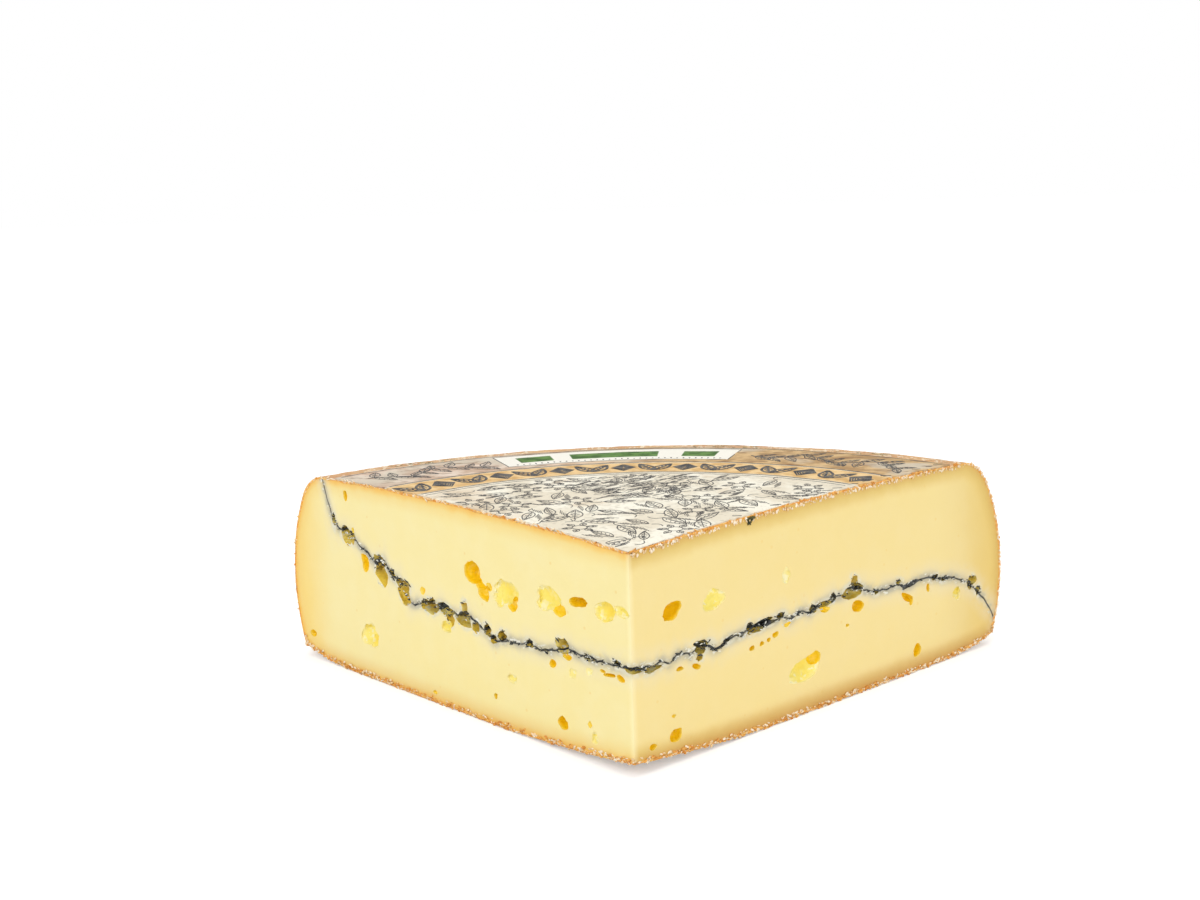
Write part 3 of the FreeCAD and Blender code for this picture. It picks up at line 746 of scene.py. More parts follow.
# Hollows along the ash: place out and up, width, height, depth, tilt.
HOLLOWS = {
    LEFT: [
        (143.2, 49.2, 6.6, 5, 4, -10), (139.6, 48.8, 2.4, 3.4, 2.5, 0), (151, 53.6, 2, 4.2, 2.5, 4),
        (124.6, 43.3, 6.2, 4, 4, 0), (124, 39.4, 5.8, 7.4, 4.6, 24), (110.8, 37.6, 7, 3.6, 3.5, -8),
        (110.5, 34.6, 5.6, 6.2, 4.2, 10), (97, 32.8, 7.6, 4.6, 4, -14), (94.6, 33.6, 3.4, 4.4, 3.6, 0),
        (88, 33.4, 6.4, 3.2, 3.6, -12), (85.2, 30.3, 3.4, 3.6, 3, 45), (77.6, 35.8, 3, 4.4, 3, 0),
        (77.8, 31.9, 6.4, 5, 3.8, 0), (72.4, 30.3, 3.5, 3.1, 3.2, 20), (66.2, 31, 4.2, 4.4, 3.2, 0),
        (59.2, 30.6, 4.4, 3, 3, 30), (45.6, 30.9, 3, 2.2, 2.4, 0), (30.2, 33.4, 5.2, 4.4, 3.6, 0),
        (18.8, 32, 4, 2, 2.4, 0), (6.4, 33, 3, 2.2, 2.2, 0), (1.4, 32.4, 4.4, 1.4, 2, 0),
        (63.2, 28.6, 3, 2.6, 2.2, 20), (117, 40.6, 3.4, 1.8, 2, -40),
    ],
    RIGHT: [
        (28.8, 33.5, 5.8, 2, 3, -8), (28, 31.9, 4.6, 3, 3, 10), (27.2, 29.6, 2.4, 1.8, 2, 0),
        (53.6, 33.6, 9.6, 2.6, 3.4, 6), (49.2, 33.8, 2.6, 3.2, 3, 0), (98, 35.4, 8.6, 4.2, 4.6, 0),
        (98.8, 38, 3.4, 4.8, 3.6, 20), (161.8, 25.4, 4.2, 4, 3.2, 0), (2.2, 31.8, 5.6, 1.5, 2, 0),
        (8.2, 31, 5.6, 1.7, 2.2, 4), (39.3, 32.2, 2.7, 1.5, 2, 0), (45.3, 32.5, 2, 1.3, 1.8, 0),
        (62.8, 34.6, 3.4, 1.6, 2.2, 0), (71, 33.6, 2.2, 1.4, 1.8, 0), (78, 33.6, 3, 2.4, 2.6, 0),
        (84, 33.6, 5.4, 2, 2.2, 4), (88.2, 35.2, 2.6, 2.6, 2.6, 0), (121.4, 33.3, 2.6, 1.3, 1.8, 0),
        (141.4, 30.8, 2.6, 1.8, 2, 0), (146.4, 29.2, 2.2, 1.3, 1.6, 0), (166, 21.2, 2.2, 2.8, 2.2, -30),
        (110, 32.3, 1.8, 1.4, 1.6, 0),
    ],
}


def blob(side, out, height, width, tall, deep, tilt, seed, uneven, facets):
    """A lumpy egg, with flat cuts if it has facets, set into a cut face: its points and its faces."""
    ball, faces = icosphere(4 if width > 4 else 3)
    chance = np.random.default_rng(seed)
    reach = np.ones(len(ball))
    for _ in range(facets):
        facing = chance.normal(0, 1, 3)
        facing /= np.linalg.norm(facing)
        reach = np.minimum(reach, chance.uniform(0.6, 0.85) / np.maximum(ball @ facing, 0.05))
    lumps = 1 + uneven * (smooth_noise(ball, 0.9, seed) + 0.5 * smooth_noise(ball, 0.35, seed + 7)
                          + 0.3 * smooth_noise(ball, 0.15, seed + 13))
    swell = 1.34 if facets else 1.0
    ball = ball * (reach * lumps * swell)[:, None] * (width / 2, deep, tall / 2)
    inward = -cut_normal(side)
    along, up = turned(ball[:, :1], ball[:, 2:], math.radians(SIGN[side] * tilt))
    centre = place(out, side, height) + inward * deep * 0.15
    points = centre + along * cut_across(side) + ball[:, 1:2] * inward + up * UP
    return points, [face[::-1] for face in faces] if side == LEFT else faces


def cavities():
    """Every eye and hollow as (points, faces, material number), large ones first."""
    found = []
    for kind, table in ((EYE, EYES), (HOLLOW, HOLLOWS)):
        for side in (LEFT, RIGHT):
            for number, row in enumerate(table[side]):
                _, _, width, tall, deep, _ = row
                uneven = 0.26 if kind == EYE and deep < 2.0 else 0.18
                facets = 11 if kind == HOLLOW else 0
                shape = blob(side, *row, 200 * kind + 100 * side + number, uneven, facets)
                golden = kind == EYE and deep > 0.45 * min(width, tall)
                found.append((*shape, DEEP_EYE if golden else kind))
    return found


def spread_out(shapes):
    """Sorts the cavities into groups in which none touch each other."""
    groups = []
    for shape in shapes:
        low, high = shape[0].min(0), shape[0].max(0)
        for group in groups:
            if all((low > top).any() or (high < bottom).any() for bottom, top, _ in group):
                group.append((low, high, shape))
                break
        else:
            groups.append([(low, high, shape)])
    return [[shape for _, _, shape in group] for group in groups]


def carve(piece, groups):
    """Cuts the cavities out of a body. The cavities' material numbers stay on their walls."""
    for number, group in enumerate(groups):
        points, faces, kinds, start = [], [], [], 0
        for shape_points, shape_faces, kind in group:
            points.append(shape_points)
            faces += [[start + index for index in face] for face in shape_faces]
            kinds += [kind] * len(shape_faces)
            start += len(shape_points)
        cutter = make_piece(f"cutter_{number}", np.concatenate(points), faces, piece.data.materials, kinds)
        cut = piece.modifiers.new("cut", "BOOLEAN")
        cut.operation, cut.solver, cut.object = "DIFFERENCE", "MANIFOLD", cutter
        carved = bpy.data.meshes.new_from_object(piece.evaluated_get(bpy.context.evaluated_depsgraph_get()))
        piece.modifiers.clear()
        piece.data = carved
        bpy.data.objects.remove(cutter)


OUTLINE_POINTS, OUTLINE_NORMALS = outline(60, 14, 40, 20, 20)


def add_fields(piece):
    """Writes how far each point is from the rind, from the ash and behind its cut."""
    points = points_of(piece).astype(float)
    out, turn = out_and_turn(points)
    gaps = np.full(len(points), 1e9)
    spot = np.stack((out, points[:, 2]), 1)
    for start, end in zip(OUTLINE_POINTS[:-1], OUTLINE_POINTS[1:]):
        line = end - start
        share = np.clip(((spot - start) @ line) / max(line @ line, 1e-9), 0, 1)
        gaps = np.minimum(gaps, np.linalg.norm(spot - start - share[:, None] * line, axis=1))
    slope = (ash(out + 1.5, turn, False) - ash(out - 1.5, turn, False)) / 3
    shorten = np.sqrt(1 + np.minimum(slope**2, 16))
    set_fields(
        piece, rim_mm=gaps, hollow_mm=hollow_gap(points, out, turn), out_mm=out, up_mm=points[:, 2],
        turn=turn, ash_mm=np.abs(points[:, 2] - ash(out, turn)) / shorten,
        halo_mm=np.abs(points[:, 2] - ash(out, turn, False)) / shorten,
        depth_mm=np.maximum(np.minimum(*behind_cuts(out, turn)), 0))
    piece.data.set_sharp_from_angle(angle=math.radians(38))


def hollow_gap(points, out, turn):
    """How far each point lies outside the nearest hollow's outline on its cut."""
    gap = np.full(len(points), 9.0)
    for side in (LEFT, RIGHT):
        for at, height, width, tall, _, tilt in HOLLOWS[side]:
            along, up = turned(out - at, points[:, 2] - height, math.radians(-SIGN[side] * tilt))
            own = (np.hypot(along / (width / 2), up / (tall / 2)) - 1) * min(width, tall) / 2
            gap = np.where(np.abs(turn - side) < 0.2, np.minimum(gap, own), gap)
    return gap


def face_relief(out, height, side):
    """How far a cut face lies behind the plane of its cut."""
    spots = place(out, side, height)
    away = np.abs(height - ash(out, side))
    waves = 0.10 + 0.10 * smooth_noise(spots, 22, 31)
    lips = 0.34 * smooth_noise(spots, 3.2, 32) * np.exp(-((away / 2.2) ** 2))
    return np.maximum(waves + lips + bell(away, 0.22, 0, 0.7), 0.0)


def make_pastes(groups):
    materials = [paste_material(), eye_material(), hollow_material(), deep_eye_material()]
    inset = RIND * 0.8

    def floor(out, turn):
        return under(out, inset)

    def roof(out, turn):
        return over(out, inset)

    def above_ash(out, turn):
        return np.maximum(ash(out, turn) + ash_half(out, turn), floor(out, turn))

    def below_ash(out, turn):
        return np.minimum(ash(out, turn) - ash_half(out, turn), roof(out, turn))

    upper = slab("upper_cheese", above_ash, roof, int(56 * DETAIL), face_relief, materials)
    lower = slab("lower_cheese", floor, below_ash, int(52 * DETAIL), face_relief, materials)
    for piece, node in ((upper, "upper_paste"), (lower, "lower_paste")):
        carve(piece, groups)
        add_fields(piece)
        finish_piece(piece, "paste", node)


def make_ash(groups):
    def recess(out, height, side):
        return 0.5 + 0.35 * smooth_noise(place(out, side, 0), 2.5, 51)

    def low(out, turn):
        return np.maximum(ash(out, turn) - ash_half(out, turn) * 1.05, under(out, 0.6))

    def high(out, turn):
        return np.minimum(ash(out, turn) + ash_half(out, turn) * 1.05, over(out, 0.6))

    sheet = slab("ash_sheet", low, high, 3, recess, [ash_material()] * 4, 0.7, 0.12)
    carve(sheet, groups)
    finish_piece(sheet, "ash", "ash_layer")


# ---------- rind


def make_rind():
    """Closed skin round top, side and underside, open at the cuts where its edge shows."""
    points, normals = outline(int(60 * DETAIL), 22, int(70 * DETAIL), int(40 * DETAIL), int(40 * DETAIL))
    columns = int(300 * DETAIL)
    turns = np.linspace(0, 1, columns + 1)

    def shell(shell_turns, sink):
        outs, heights = points[:, :1], points[:, 1:]
        depth = sink(place(outs, shell_turns, heights)) * smooth_step(outs / 3 + 0.25)
        sunk = np.maximum(outs - normals[:, :1] * depth, 0)
        return place(sunk, shell_turns, heights - normals[:, 1:] * depth)

    def outer_sink(spots):
        folds = 0.25 * (1 + smooth_noise(spots, 14, 61)) + 0.16 * (1 + smooth_noise(spots, 4, 62))
        return folds * 0.7

    def inner_sink(spots):
        return RIND + 0.15 + 0.3 * smooth_noise(spots, 3.5, 63)

    outer = shell(turns, outer_sink)
    inner = shell(turns[:: columns // 12], inner_sink)
    for side, index in ((LEFT, 0), (RIGHT, -1)):
        proud = 0.04 + 0.10 * smooth_noise(outer[:, index], 2.6, 64 + side)
        outer[:, index] += cut_normal(side) * proud[:, None]
        inner[:, index] += cut_normal(side) * (proud * 0.6 - 0.05)[:, None]
    outer_numbers = numbered(outer)
    inner_numbers = numbered(inner, outer_numbers.size)
    faces = grid_faces(outer_numbers, True)
    seen = len(faces)
    faces += grid_faces(inner_numbers)
    for index in (0, -1):
        strip = np.stack((outer_numbers[:, index], inner_numbers[:, index]), 1)
        faces += grid_faces(strip, index == -1)
    kinds = [0] * seen + [1] * (len(faces) - seen)
    everything = np.concatenate((outer.reshape(-1, 3), inner.reshape(-1, 3)))
    rind = make_piece("rind_skin", everything, faces, [rind_material(), rind_cut_material()], kinds)
    flatness = smooth_step((np.abs(normals[:, 1:]) - 0.35) / 0.6)

    def full(values, inner_value):
        grid = np.broadcast_to(values, outer_numbers.shape)
        return np.concatenate((grid.ravel(), np.full(inner_numbers.size, inner_value)))

    set_fields(
        rind, around_m=full((turns * 2 - 1) * HALF_ANGLE * RADIUS * MM, 0),
        along_m=full(lengths_along(points)[:, None] * MM, 0), flatness=full(flatness, 1.0),
        edge=full(4 * flatness * (1 - flatness), 0))
    weld(rind)
    finish_piece(rind, "paste")


# ---------- label

PAPER = 0.22  # how far the paper stands above the wheel's outline
BARE_EDGE = 0.6  # how far the print stays from the paper's edges
INK = 0.05  # how far a line of ink stands above the paper, and reaches into it


def paper_height(x, y):
    """Height of the paper's upper face over a point of the plan; y is measured from the axis."""
    out = np.hypot(x, y)
    spots = np.stack((x, y, np.zeros_like(x)), -1)
    wrinkles = smooth_noise(spots, 16, 71) * 0.08 + smooth_noise(spots, 6, 72) * 0.05
    return over(out) + PAPER + wrinkles - 0.12


def make_label():
    rings, columns = int(110 * DETAIL), int(150 * DETAIL)
    outs = np.linspace(0, LABEL_RADIUS, rings + 1)
    turns = np.linspace(0, 1, columns + 1)
    out_grid, turn_grid = np.meshgrid(outs, turns, indexing="ij")
    rim_spots = place(np.full(columns + 1, LABEL_RADIUS), turns, 0.0)
    out_grid = out_grid * (1 - 0.004 * (1 + smooth_noise(rim_spots, 5, 73)) * (out_grid / LABEL_RADIUS) ** 8)
    flat = place(out_grid, turn_grid, 0.0)
    for side, index in ((LEFT, 0), (RIGHT, -1)):
        torn = 0.25 * (1 + smooth_noise(flat[:, index], 2.2, 74 + side)) * smooth_step(outs / 4)
        flat[:, index] -= cut_normal(side) * torn[:, None]
    top, bottom = flat.copy(), flat.copy()
    plan_x, plan_y = flat[..., 0], flat[..., 1] - AXIS_Y
    top[..., 2] = paper_height(plan_x, plan_y)
    bottom[..., 2] = over(np.hypot(plan_x, plan_y)) - 0.45
    upper = numbered(top)
    lower = numbered(bottom, upper.size)
    faces = grid_faces(upper) + grid_faces(lower, True)
    for edge in ((slice(None), 0), (slice(None), -1), -1):
        faces += grid_faces(np.stack((upper[edge], lower[edge]), 1))
    points = np.concatenate((top, bottom)).reshape(-1, 3)
    label = make_piece("label_sheet", points, faces, [label_material()])
    weld(label)
    label.data.set_sharp_from_angle(angle=math.radians(40))
    finish_piece(label, "label", "paper_label")


class Pen:
    """Collects thin raised ink lines that follow the paper. Plan points: x, y from the axis."""

    def __init__(self):
        self.points, self.faces = [], []

    def stroke(self, line, width, closed=False):
        """Draws the runs of the line that lie on the paper."""
        line = np.asarray(line, float)
        if closed:
            line = np.concatenate((line, line[:1]))
        to_cut = (line[:, 1] - np.abs(line[:, 0])) * math.sin(HALF_ANGLE)
        printed = (to_cut > BARE_EDGE) & (np.hypot(line[:, 0], line[:, 1]) < LABEL_RADIUS - BARE_EDGE)
        breaks = np.nonzero(np.diff(printed.astype(int)))[0] + 1
        for run, inside in zip(np.split(line, breaks), np.split(printed, breaks)):
            if inside[0] and len(run) > 1:
                self.draw(run, width)

    def draw(self, line, width):
        ahead = np.gradient(line, axis=0)
        ahead /= np.maximum(np.linalg.norm(ahead, axis=1), 1e-9)[:, None]
        aside = np.stack((-ahead[:, 1], ahead[:, 0]), 1) * np.reshape(width, (-1, 1)) / 2
        corners = []
        for offset, lift in ((aside, INK), (-aside, INK), (-aside, -INK), (aside, -INK)):
            x, y = (line + offset).T
            corners.append(np.stack((x, y + AXIS_Y, paper_height(x, y) + lift), 1))
        start = sum(len(block) for block in self.points)
        self.points.append(np.stack(corners, 1).reshape(-1, 3))
        numbers = start + np.arange(len(line) * 4).reshape(-1, 4)
        ring = np.concatenate((numbers, numbers[:, :1]), 1)
        self.faces += grid_faces(ring)
        self.faces += [numbers[0].tolist(), numbers[-1][::-1].tolist()]

    def curve(self, start, end, bulge, width, count=9):
        """A line from start to end that bows aside by bulge, a share of its length."""
        start, end = np.asarray(start, float), np.asarray(end, float)
        share = np.linspace(0, 1, count)[:, None]
        aside = np.array((-(end - start)[1], (end - start)[0]))
        self.stroke(start + (end - start) * share + aside * bulge * 4 * share * (1 - share), width)

    def leaf(self, base, angle, length, width, line=0.4, veins=4):
        """A pointed leaf with a midrib, side veins and one shaded half."""
        ahead, aside = axes(angle)
        share = np.linspace(0, 1, 9)[:, None]
        belly = np.sin(math.pi * share**0.8) * width / 2
        base = np.asarray(base, float)
        self.stroke(base + ahead * share * length + aside * belly, line)
        self.stroke(base + ahead * share * length - aside * belly, line)
        self.stroke(base + ahead * share * length * 0.92, line * 0.8)
        for number in range(1, veins + 1):
            along = number / (veins + 1.5)
            root = base + ahead * along * length
            reach = math.sin(math.pi * along**0.8) * width / 2 * 0.85
            for sign in (-1, 1):
                self.stroke([root, root + (ahead * 0.8 + aside * sign) * reach * 0.72], line * 0.7)
            shade = root + (ahead * 0.8 + aside) * reach * 0.6 + ahead * 0.7
            self.stroke([root + aside * reach * 0.3 + ahead * 0.6, shade], line * 0.6)

    def dots(self, centre, radius, line=0.4, count=8):
        angles = np.linspace(0, 2 * math.pi, count, endpoint=False)
        centre = np.asarray(centre, float)
        self.stroke(centre + radius * np.stack((np.cos(angles), np.sin(angles)), 1), line, True)


def plan(out, turn):
    """Plan point at a distance from the axis; turn is 0 in the middle, -0.5 and 0.5 at the cuts."""
    angle = turn * 2 * HALF_ANGLE
    return np.array((out * math.sin(angle), out * math.cos(angle)))


def ring(pen, out, width, start=-0.49, end=0.49, step=0.012):
    turns = np.arange(start, end, step)
    pen.stroke([plan(out, turn) for turn in turns], width)


def draw_foliage(pen, chance):
    """Leaves, buds and tendrils strewn over the middle of the label, with hatching in their shade."""
    seats = []
    for _ in range(6000):
        out, turn = 95 * math.sqrt(chance.random()), chance.uniform(-0.48, 0.48)
        seat = plan(out, turn)
        edge = out * math.sin((0.5 - abs(turn)) * 2 * HALF_ANGLE)
        if 9 < out < 92 and edge > 3 and all(np.hypot(*(seat - other)) > 8.2 for other in seats):
            seats.append(seat)
    for number, seat in enumerate(seats):
        heading = chance.uniform(0, 2 * math.pi)
        ahead, aside = axes(heading)
        if number % 4 == 3:
            pen.dots(seat, 2.3, 0.3, 10)
            for petal in range(6):
                angle = heading + petal * math.pi / 3
                pen.leaf(seat + 2.3 * axes(angle)[0], angle, 3.2, 2.0, 0.28, 1)
        else:
            length = chance.uniform(8.5, 11.5)
            width = length * chance.uniform(0.34, 0.46)
            pen.leaf(seat - ahead * length / 2, heading, length, width, 0.34, 4)
            for hatch in range(5):
                root = seat + aside * (2.6 + 0.5 * hatch) - ahead * (3.0 - hatch)
                pen.stroke([root, root + ahead * chance.uniform(2.5, 4.5)], 0.24)
        pen.curve(seat - ahead * 5.5, seat - ahead * 9.5 + aside * chance.uniform(-3, 3), 0.3, 0.3, 6)
    for _ in range(260):
        middle = plan(chance.uniform(62, 94), chance.uniform(-0.12, 0.14))
        lean = 0.7 + chance.uniform(-0.2, 0.2)
        reach = axes(lean)[0] * chance.uniform(1.0, 2.6)
        pen.stroke([middle - reach, middle + reach], 0.26)


def draw_band(pen):
    """Diamonds and twin leaves between two lines."""
    ring(pen, 97.5, 0.35)
    ring(pen, BAND[0] - 0.6, 0.7)
    ring(pen, BAND[1] + 0.6, 0.8)
    middle = sum(BAND) / 2
    for number, turn in enumerate(np.arange(-0.465, 0.47, 0.062)):
        heading = math.pi / 2 - turn * 2 * HALF_ANGLE
        centre = plan(middle, turn)
        ahead, aside = axes(heading)
        if number % 2:
            for size in (5.6, 4.2, 2.8, 1.3):
                along, across = ahead * size, aside * size * 0.7
                pen.stroke([centre + along, centre + across, centre - along, centre - across], 0.95, True)
        else:
            for sign in (-1, 1):
                pen.leaf(centre - ahead * 5.5, heading + sign * 0.45, 12.5, 4.6, 0.95, 4)


def branch(turn):
    """Point of the winding branch in the outer ring."""
    return plan(134 + 4 * math.sin(turn * 50), turn)


def draw_outer(pen, chance):
    """Branches along the outer ring, clear of the white strip, and the strip's own lines."""
    for start, end in ((-0.47, STRIP_TURNS[0] - 0.03), (STRIP_TURNS[1] + 0.03, 0.47)):
        pen.stroke([branch(turn) for turn in np.arange(start, end, 0.01)], 0.6)
        for turn in np.arange(start + 0.01, end, 0.026):
            root, heading = branch(turn), -turn * 2 * HALF_ANGLE
            for sign in (-1, 1):
                size = chance.uniform(7, 11)
                pen.leaf(root, heading + sign * chance.uniform(0.7, 1.3), size, size * 0.36, 0.4, 3)
    for turn in np.arange(STRIP_TURNS[0] + 0.02, STRIP_TURNS[1] - 0.01, 0.011):
        pen.stroke([plan(126.0, turn), plan(126.0 + chance.uniform(0.8, 1.6), turn)], 0.5)
    for turn in STRIP_TURNS:
        pen.stroke([plan(out, turn) for out in STRIP], 0.4)
    for out in STRIP:
        ring(pen, out, 0.4, *STRIP_TURNS)
    ring(pen, LABEL_RADIUS - 2.0, 0.5)
    for _ in range(18):
        root = plan(chance.uniform(45, 148), 0.49)
        reach = chance.uniform(1.5, 4.0)
        pen.stroke([root, root - (reach, reach * chance.uniform(-0.1, 0.3))], 0.6)


def make_ink():
    chance = np.random.default_rng(81)
    pen = Pen()
    draw_foliage(pen, chance)
    draw_band(pen)
    draw_outer(pen, chance)
    ink = make_piece("label_print", np.concatenate(pen.points), pen.faces, [ink_material()])
    finish_piece(ink, "label")


# ---------- crumbs and flakes


def scatter(name, spots, sizes, leans, material, seed):
    """Small irregular chips: one mesh. sizes are half-lengths along (across the face, up, out of it)."""
    ball, ball_faces = icosphere(1)
    chance = np.random.default_rng(seed)
    points, faces = [], []
    for number, (spot, size, (across, up, outward)) in enumerate(zip(spots, sizes, leans)):
        rough = ball * (1 + chance.uniform(-0.35, 0.35, (len(ball), 1)))
        spin = chance.uniform(-0.7, 0.7)
        x, z = turned(rough[:, :1] * size[0], rough[:, 2:] * size[1], spin)
        points.append(spot + x * across + z * up + rough[:, 1:2] * size[2] * outward)
        faces.append(np.array(ball_faces) + number * len(ball))
    inside = np.clip(np.concatenate(points), *(np.array(corner) / MM for corner in cad_box))
    return make_piece(name, inside, np.concatenate(faces).tolist(), [material])


TOP_ENDS, SIDE_ENDS = 0.385, 0.56  # shares of the outline's length where top and side end
FLECK_AT = 50.0  # how far the mould fleck is from the axis


def edge_places(chance, count, start, end):
    """Random places along the cut's outline, between two shares of its length."""
    length = lengths_along(OUTLINE_POINTS)
    along = chance.uniform(start, end, count) * length[-1]
    return [np.interp(along, length, values) for values in OUTLINE_POINTS.T]


def make_flakes():
    chance = np.random.default_rng(91)
    pale = crumb_material("flake_pale", (240, 204, 148), (254, 240, 216), 0.55)
    brown = crumb_material("flake_brown", (222, 146, 60), (246, 190, 100), 0.6)

    def spread(parts, seed, name, material):
        spots, sizes, leans = [], [], []
        for side, start, end, count, sink, wide, tall in parts:
            out, height = edge_places(chance, count, start, end)
            out, height = outline_inset(out, height, chance.uniform(*sink, count))
            proud = chance.uniform(-0.15, 0.30, count)
            spots.append(place(out, side, height) + cut_normal(side) * proud[:, None])
            scale = chance.uniform(0.3, 1.15, (count, 1)) ** 1.5
            sizes.append(np.array((wide, tall, 0.28)) * scale)
            leans += [cut_frame(side)] * count
        piece = scatter(name, np.concatenate(spots), np.concatenate(sizes), leans, material, seed)
        finish_piece(piece, "paste")

    spread([
        (LEFT, 0.0, TOP_ENDS, 80, (0.0, 0.4), 1.7, 0.22),
        (RIGHT, 0.0, TOP_ENDS, 430, (0.6, 1.9), 0.42, 0.5),
        (LEFT, TOP_ENDS, SIDE_ENDS, 26, (0.0, 0.4), 0.25, 0.5),
        (RIGHT, TOP_ENDS, SIDE_ENDS, 190, (0.0, 0.9), 0.35, 0.55),
        (LEFT, SIDE_ENDS, 1.0, 330, (0.1, 2.2), 0.8, 0.38),
        (RIGHT, SIDE_ENDS, 1.0, 340, (0.1, 1.9), 0.8, 0.38),
    ], 92, "flakes_pale", pale)
    spread([
        (LEFT, 0.0, TOP_ENDS, 50, (0.1, 0.6), 1.2, 0.22),
        (RIGHT, 0.0, TOP_ENDS, 110, (0.0, 0.6), 1.1, 0.26),
        (LEFT, TOP_ENDS, SIDE_ENDS, 10, (0.1, 0.5), 0.25, 0.4),
        (RIGHT, TOP_ENDS, SIDE_ENDS, 26, (0.1, 0.6), 0.3, 0.45),
        (LEFT, SIDE_ENDS, 1.0, 330, (0.1, 1.8), 0.9, 0.36),
        (RIGHT, SIDE_ENDS, 1.0, 340, (0.1, 1.6), 0.9, 0.36),
    ], 93, "flakes_brown", brown)


def make_fleck():
    """A dark green fleck of mould under the right cut's upper edge."""
    chance = np.random.default_rng(99)
    green = crumb_material("mould_green", (44, 48, 18), (98, 92, 40), 0.6)
    out = FLECK_AT + chance.normal(0, 0.8, 9)
    height = over(out) - chance.uniform(0.6, 2.6, 9)
    spots = place(out, RIGHT, height) + cut_normal(RIGHT) * 0.1
    piece = scatter("mould_fleck", spots, [(0.9, 0.45, 0.4)] * 9, [cut_frame(RIGHT)] * 9, green, 100)
    finish_piece(piece, "paste")


def outline_inset(out, height, depth):
    """Moves points of the outline towards the middle of the cut by that depth."""
    gaps = np.hypot(out[:, None] - OUTLINE_POINTS[:, 0], height[:, None] - OUTLINE_POINTS[:, 1])
    ahead, up = OUTLINE_NORMALS[np.argmin(gaps, axis=1)].T
    return np.maximum(out - ahead * depth, 0.1), height - up * depth


def hollow_edges(side, chance, count, start, end, swell):
    """Random places on the hollows' outlines, between two angles in degrees."""
    outs, heights = [], []
    for at, height, width, tall, _, tilt in HOLLOWS[side]:
        angle = np.radians(chance.uniform(start, end, count))
        along, up = width / 2 * swell * np.cos(angle), tall / 2 * swell * np.sin(angle)
        along, up = turned(along, up, math.radians(SIGN[side] * tilt))
        outs.append(at + along)
        heights.append(height + up)
    return np.concatenate(outs), np.concatenate(heights)


def make_ash_crumbs():
    """Black grains along the ash and on the hollows' upper edges, pale shreds of curd beside them that also
    stand in as painted highlights.
    """
    chance = np.random.default_rng(95)
    dark = crumb_material("crumb_ash", (26, 28, 28), (70, 74, 72), 0.45)
    # The pale curd chips are partly real shreds and partly painted highlights.
    pale = crumb_material("curd_highlight_crumb", (208, 210, 200), (246, 244, 232), 0.25)
    kinds = [
        ("crumbs_ash", dark, 150, (1.1, 0.30, 0.28), 0.5, (5, 15, 165, 1.06), 96),
        ("curd_highlight_crumbs", pale, 60, (0.9, 0.28, 0.26), 0.9, (3, 0, 360, 1.22), 97),
    ]
    for name, material, count, size, spread, rims, seed in kinds:
        spots, leans = [], []
        for side, end in ((LEFT, 0.87), (RIGHT, 0.95)):
            loose = chance.uniform(0, end, count) * RADIUS
            scattered = ash(loose, side) + chance.normal(0, spread, count)
            edge_out, edge_height = hollow_edges(side, chance, *rims)
            out = np.concatenate((loose, edge_out))
            height = np.concatenate((scattered, edge_height))
            proud = chance.uniform(-0.4, 0.05, len(out))
            spots.append(place(out, side, height) + cut_normal(side) * proud[:, None])
            leans += [cut_frame(side)] * len(out)
        sizes = np.array(size) * chance.uniform(0.35, 1.0, (len(leans), 1)) ** 1.3
        piece = scatter(name, np.concatenate(spots), sizes, leans, material, seed)
        finish_piece(piece, "ash")


# ---------- stage, light, camera

WORLD_LEVEL = 0.55  # how strongly the surroundings light the object
# Camera, from the perspective of the cut faces: distance from the wheel's axis in wheel radii.
CAMERA_AT = (0.1033, -2.4695, 0.9934)
CAMERA_RADIUS = 180.5
CAMERA_TURN, CAMERA_DOWN, CAMERA_ROLL = 3.2865, 10.5426, -1.9149
CAMERA_LENS = 49.27


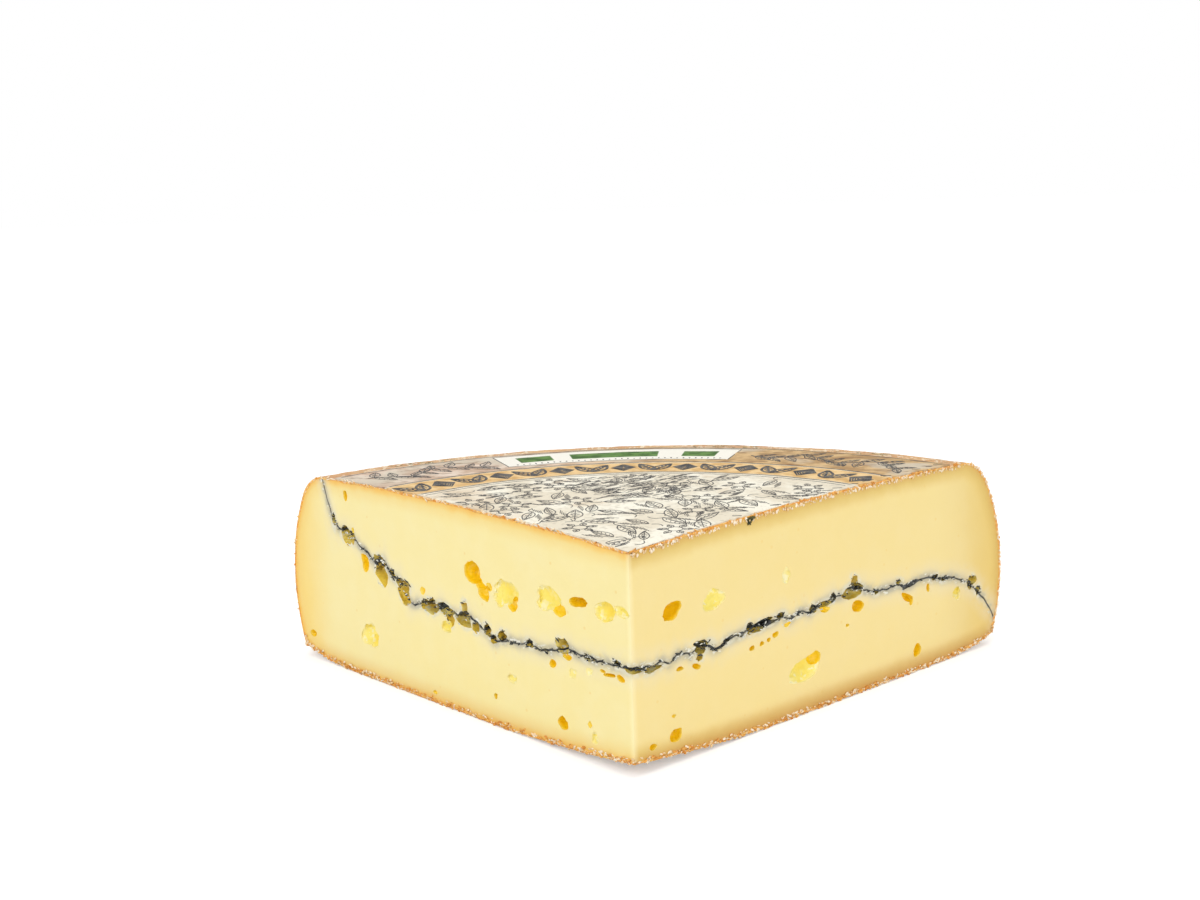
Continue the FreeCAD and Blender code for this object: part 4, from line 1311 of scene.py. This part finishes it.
def make_stage():
    """White floor that lights the object as paper would and keeps its soft shadow."""
    mesh = bpy.data.meshes.new("floor")
    mesh.from_pydata([(-4, -4, 0), (4, -4, 0), (4, 4, 0), (-4, 4, 0)], [], [(0, 1, 2, 3)])
    floor = new_object("floor", mesh)
    paint = Paint("floor_white", roughness=0.9, specular=0.0)
    paint.tone = (0.86, 0.86, 0.86, 1)
    rays = paint.node("LightPath").outputs
    seen = paint.maths("MAXIMUM", rays["Is Camera Ray"], rays["Is Glossy Ray"])
    seen = paint.maths("MAXIMUM", seen, rays["Is Transmission Ray"])
    away = paint.node("VectorMath", {0: paint.where}, operation="LENGTH").outputs["Value"]
    white = paint.times(seen, paint.fade(away, 0.7, 2.6, 0.34, 0.95))
    paint.feed(paint.shader.inputs["Emission Color"], (1, 1, 1, 1))
    paint.feed(paint.shader.inputs["Emission Strength"], white)
    mesh.materials.append(paint.done())
    world = bpy.data.worlds.new("studio")
    world.use_nodes = True
    tree = world.node_tree
    background = tree.nodes["Background"]
    background.inputs["Color"].default_value = (1, 1, 1, 1)
    rays = tree.nodes.new("ShaderNodeLightPath")
    shown = tree.nodes.new("ShaderNodeMath")
    shown.operation = "MAXIMUM"
    tree.links.new(rays.outputs["Is Camera Ray"], shown.inputs[0])
    tree.links.new(rays.outputs["Is Transmission Ray"], shown.inputs[1])
    level = tree.nodes.new("ShaderNodeMapRange")
    tree.links.new(shown.outputs[0], level.inputs[0])
    level.inputs[3].default_value = WORLD_LEVEL
    level.inputs[4].default_value = 1.0
    tree.links.new(level.outputs[0], background.inputs["Strength"])
    bpy.context.scene.world = world


def make_lamp(name, place_at, aim, width, power):
    light = bpy.data.lights.new(name, "AREA")
    light.shape = "SQUARE"
    light.size = width
    light.energy = power
    lamp = new_object(name, light)
    lamp.location = place_at
    lamp.rotation_euler = (Vector(aim) - Vector(place_at)).to_track_quat("-Z", "Y").to_euler()


def make_lights():
    middle = (0, 0, HEIGHT * MM / 2)
    make_lamp("key", (-0.9, -1.5, 1.5), middle, 1.4, 16.5)
    make_lamp("fill", (1.2, -1.5, 0.9), middle, 1.4, 9)
    make_lamp("top", (0.1, 0.3, 1.8), middle, 1.6, 12)


def make_camera():
    data = bpy.data.cameras.new("camera")
    data.lens = CAMERA_LENS
    data.sensor_width = 36
    camera = new_object("camera", data)
    turn, down, roll = (math.radians(value) for value in (CAMERA_TURN, CAMERA_DOWN, CAMERA_ROLL))
    ahead = Vector((-math.sin(turn) * math.cos(down), math.cos(turn) * math.cos(down), -math.sin(down)))
    right = ahead.cross(Vector((0, 0, 1))).normalized()
    up = right.cross(ahead)
    x_axis = right * math.cos(roll) + up * math.sin(roll)
    y_axis = up * math.cos(roll) - right * math.sin(roll)
    turned = Matrix((x_axis, y_axis, -ahead)).transposed()
    at = Vector(CAMERA_AT) * CAMERA_RADIUS * MM + Vector((0, AXIS_Y * MM, 0))
    camera.matrix_world = Matrix.Translation(at) @ turned.to_4x4()
    bpy.context.scene.camera = camera


def main():
    groups = spread_out(cavities())
    make_pastes(groups)
    make_ash(groups)
    make_rind()
    make_label()
    make_ink()
    make_flakes()
    make_fleck()
    make_ash_crumbs()
    make_stage()
    make_lights()
    make_camera()
    bpy.context.scene.view_settings.view_transform = "Standard"


main()
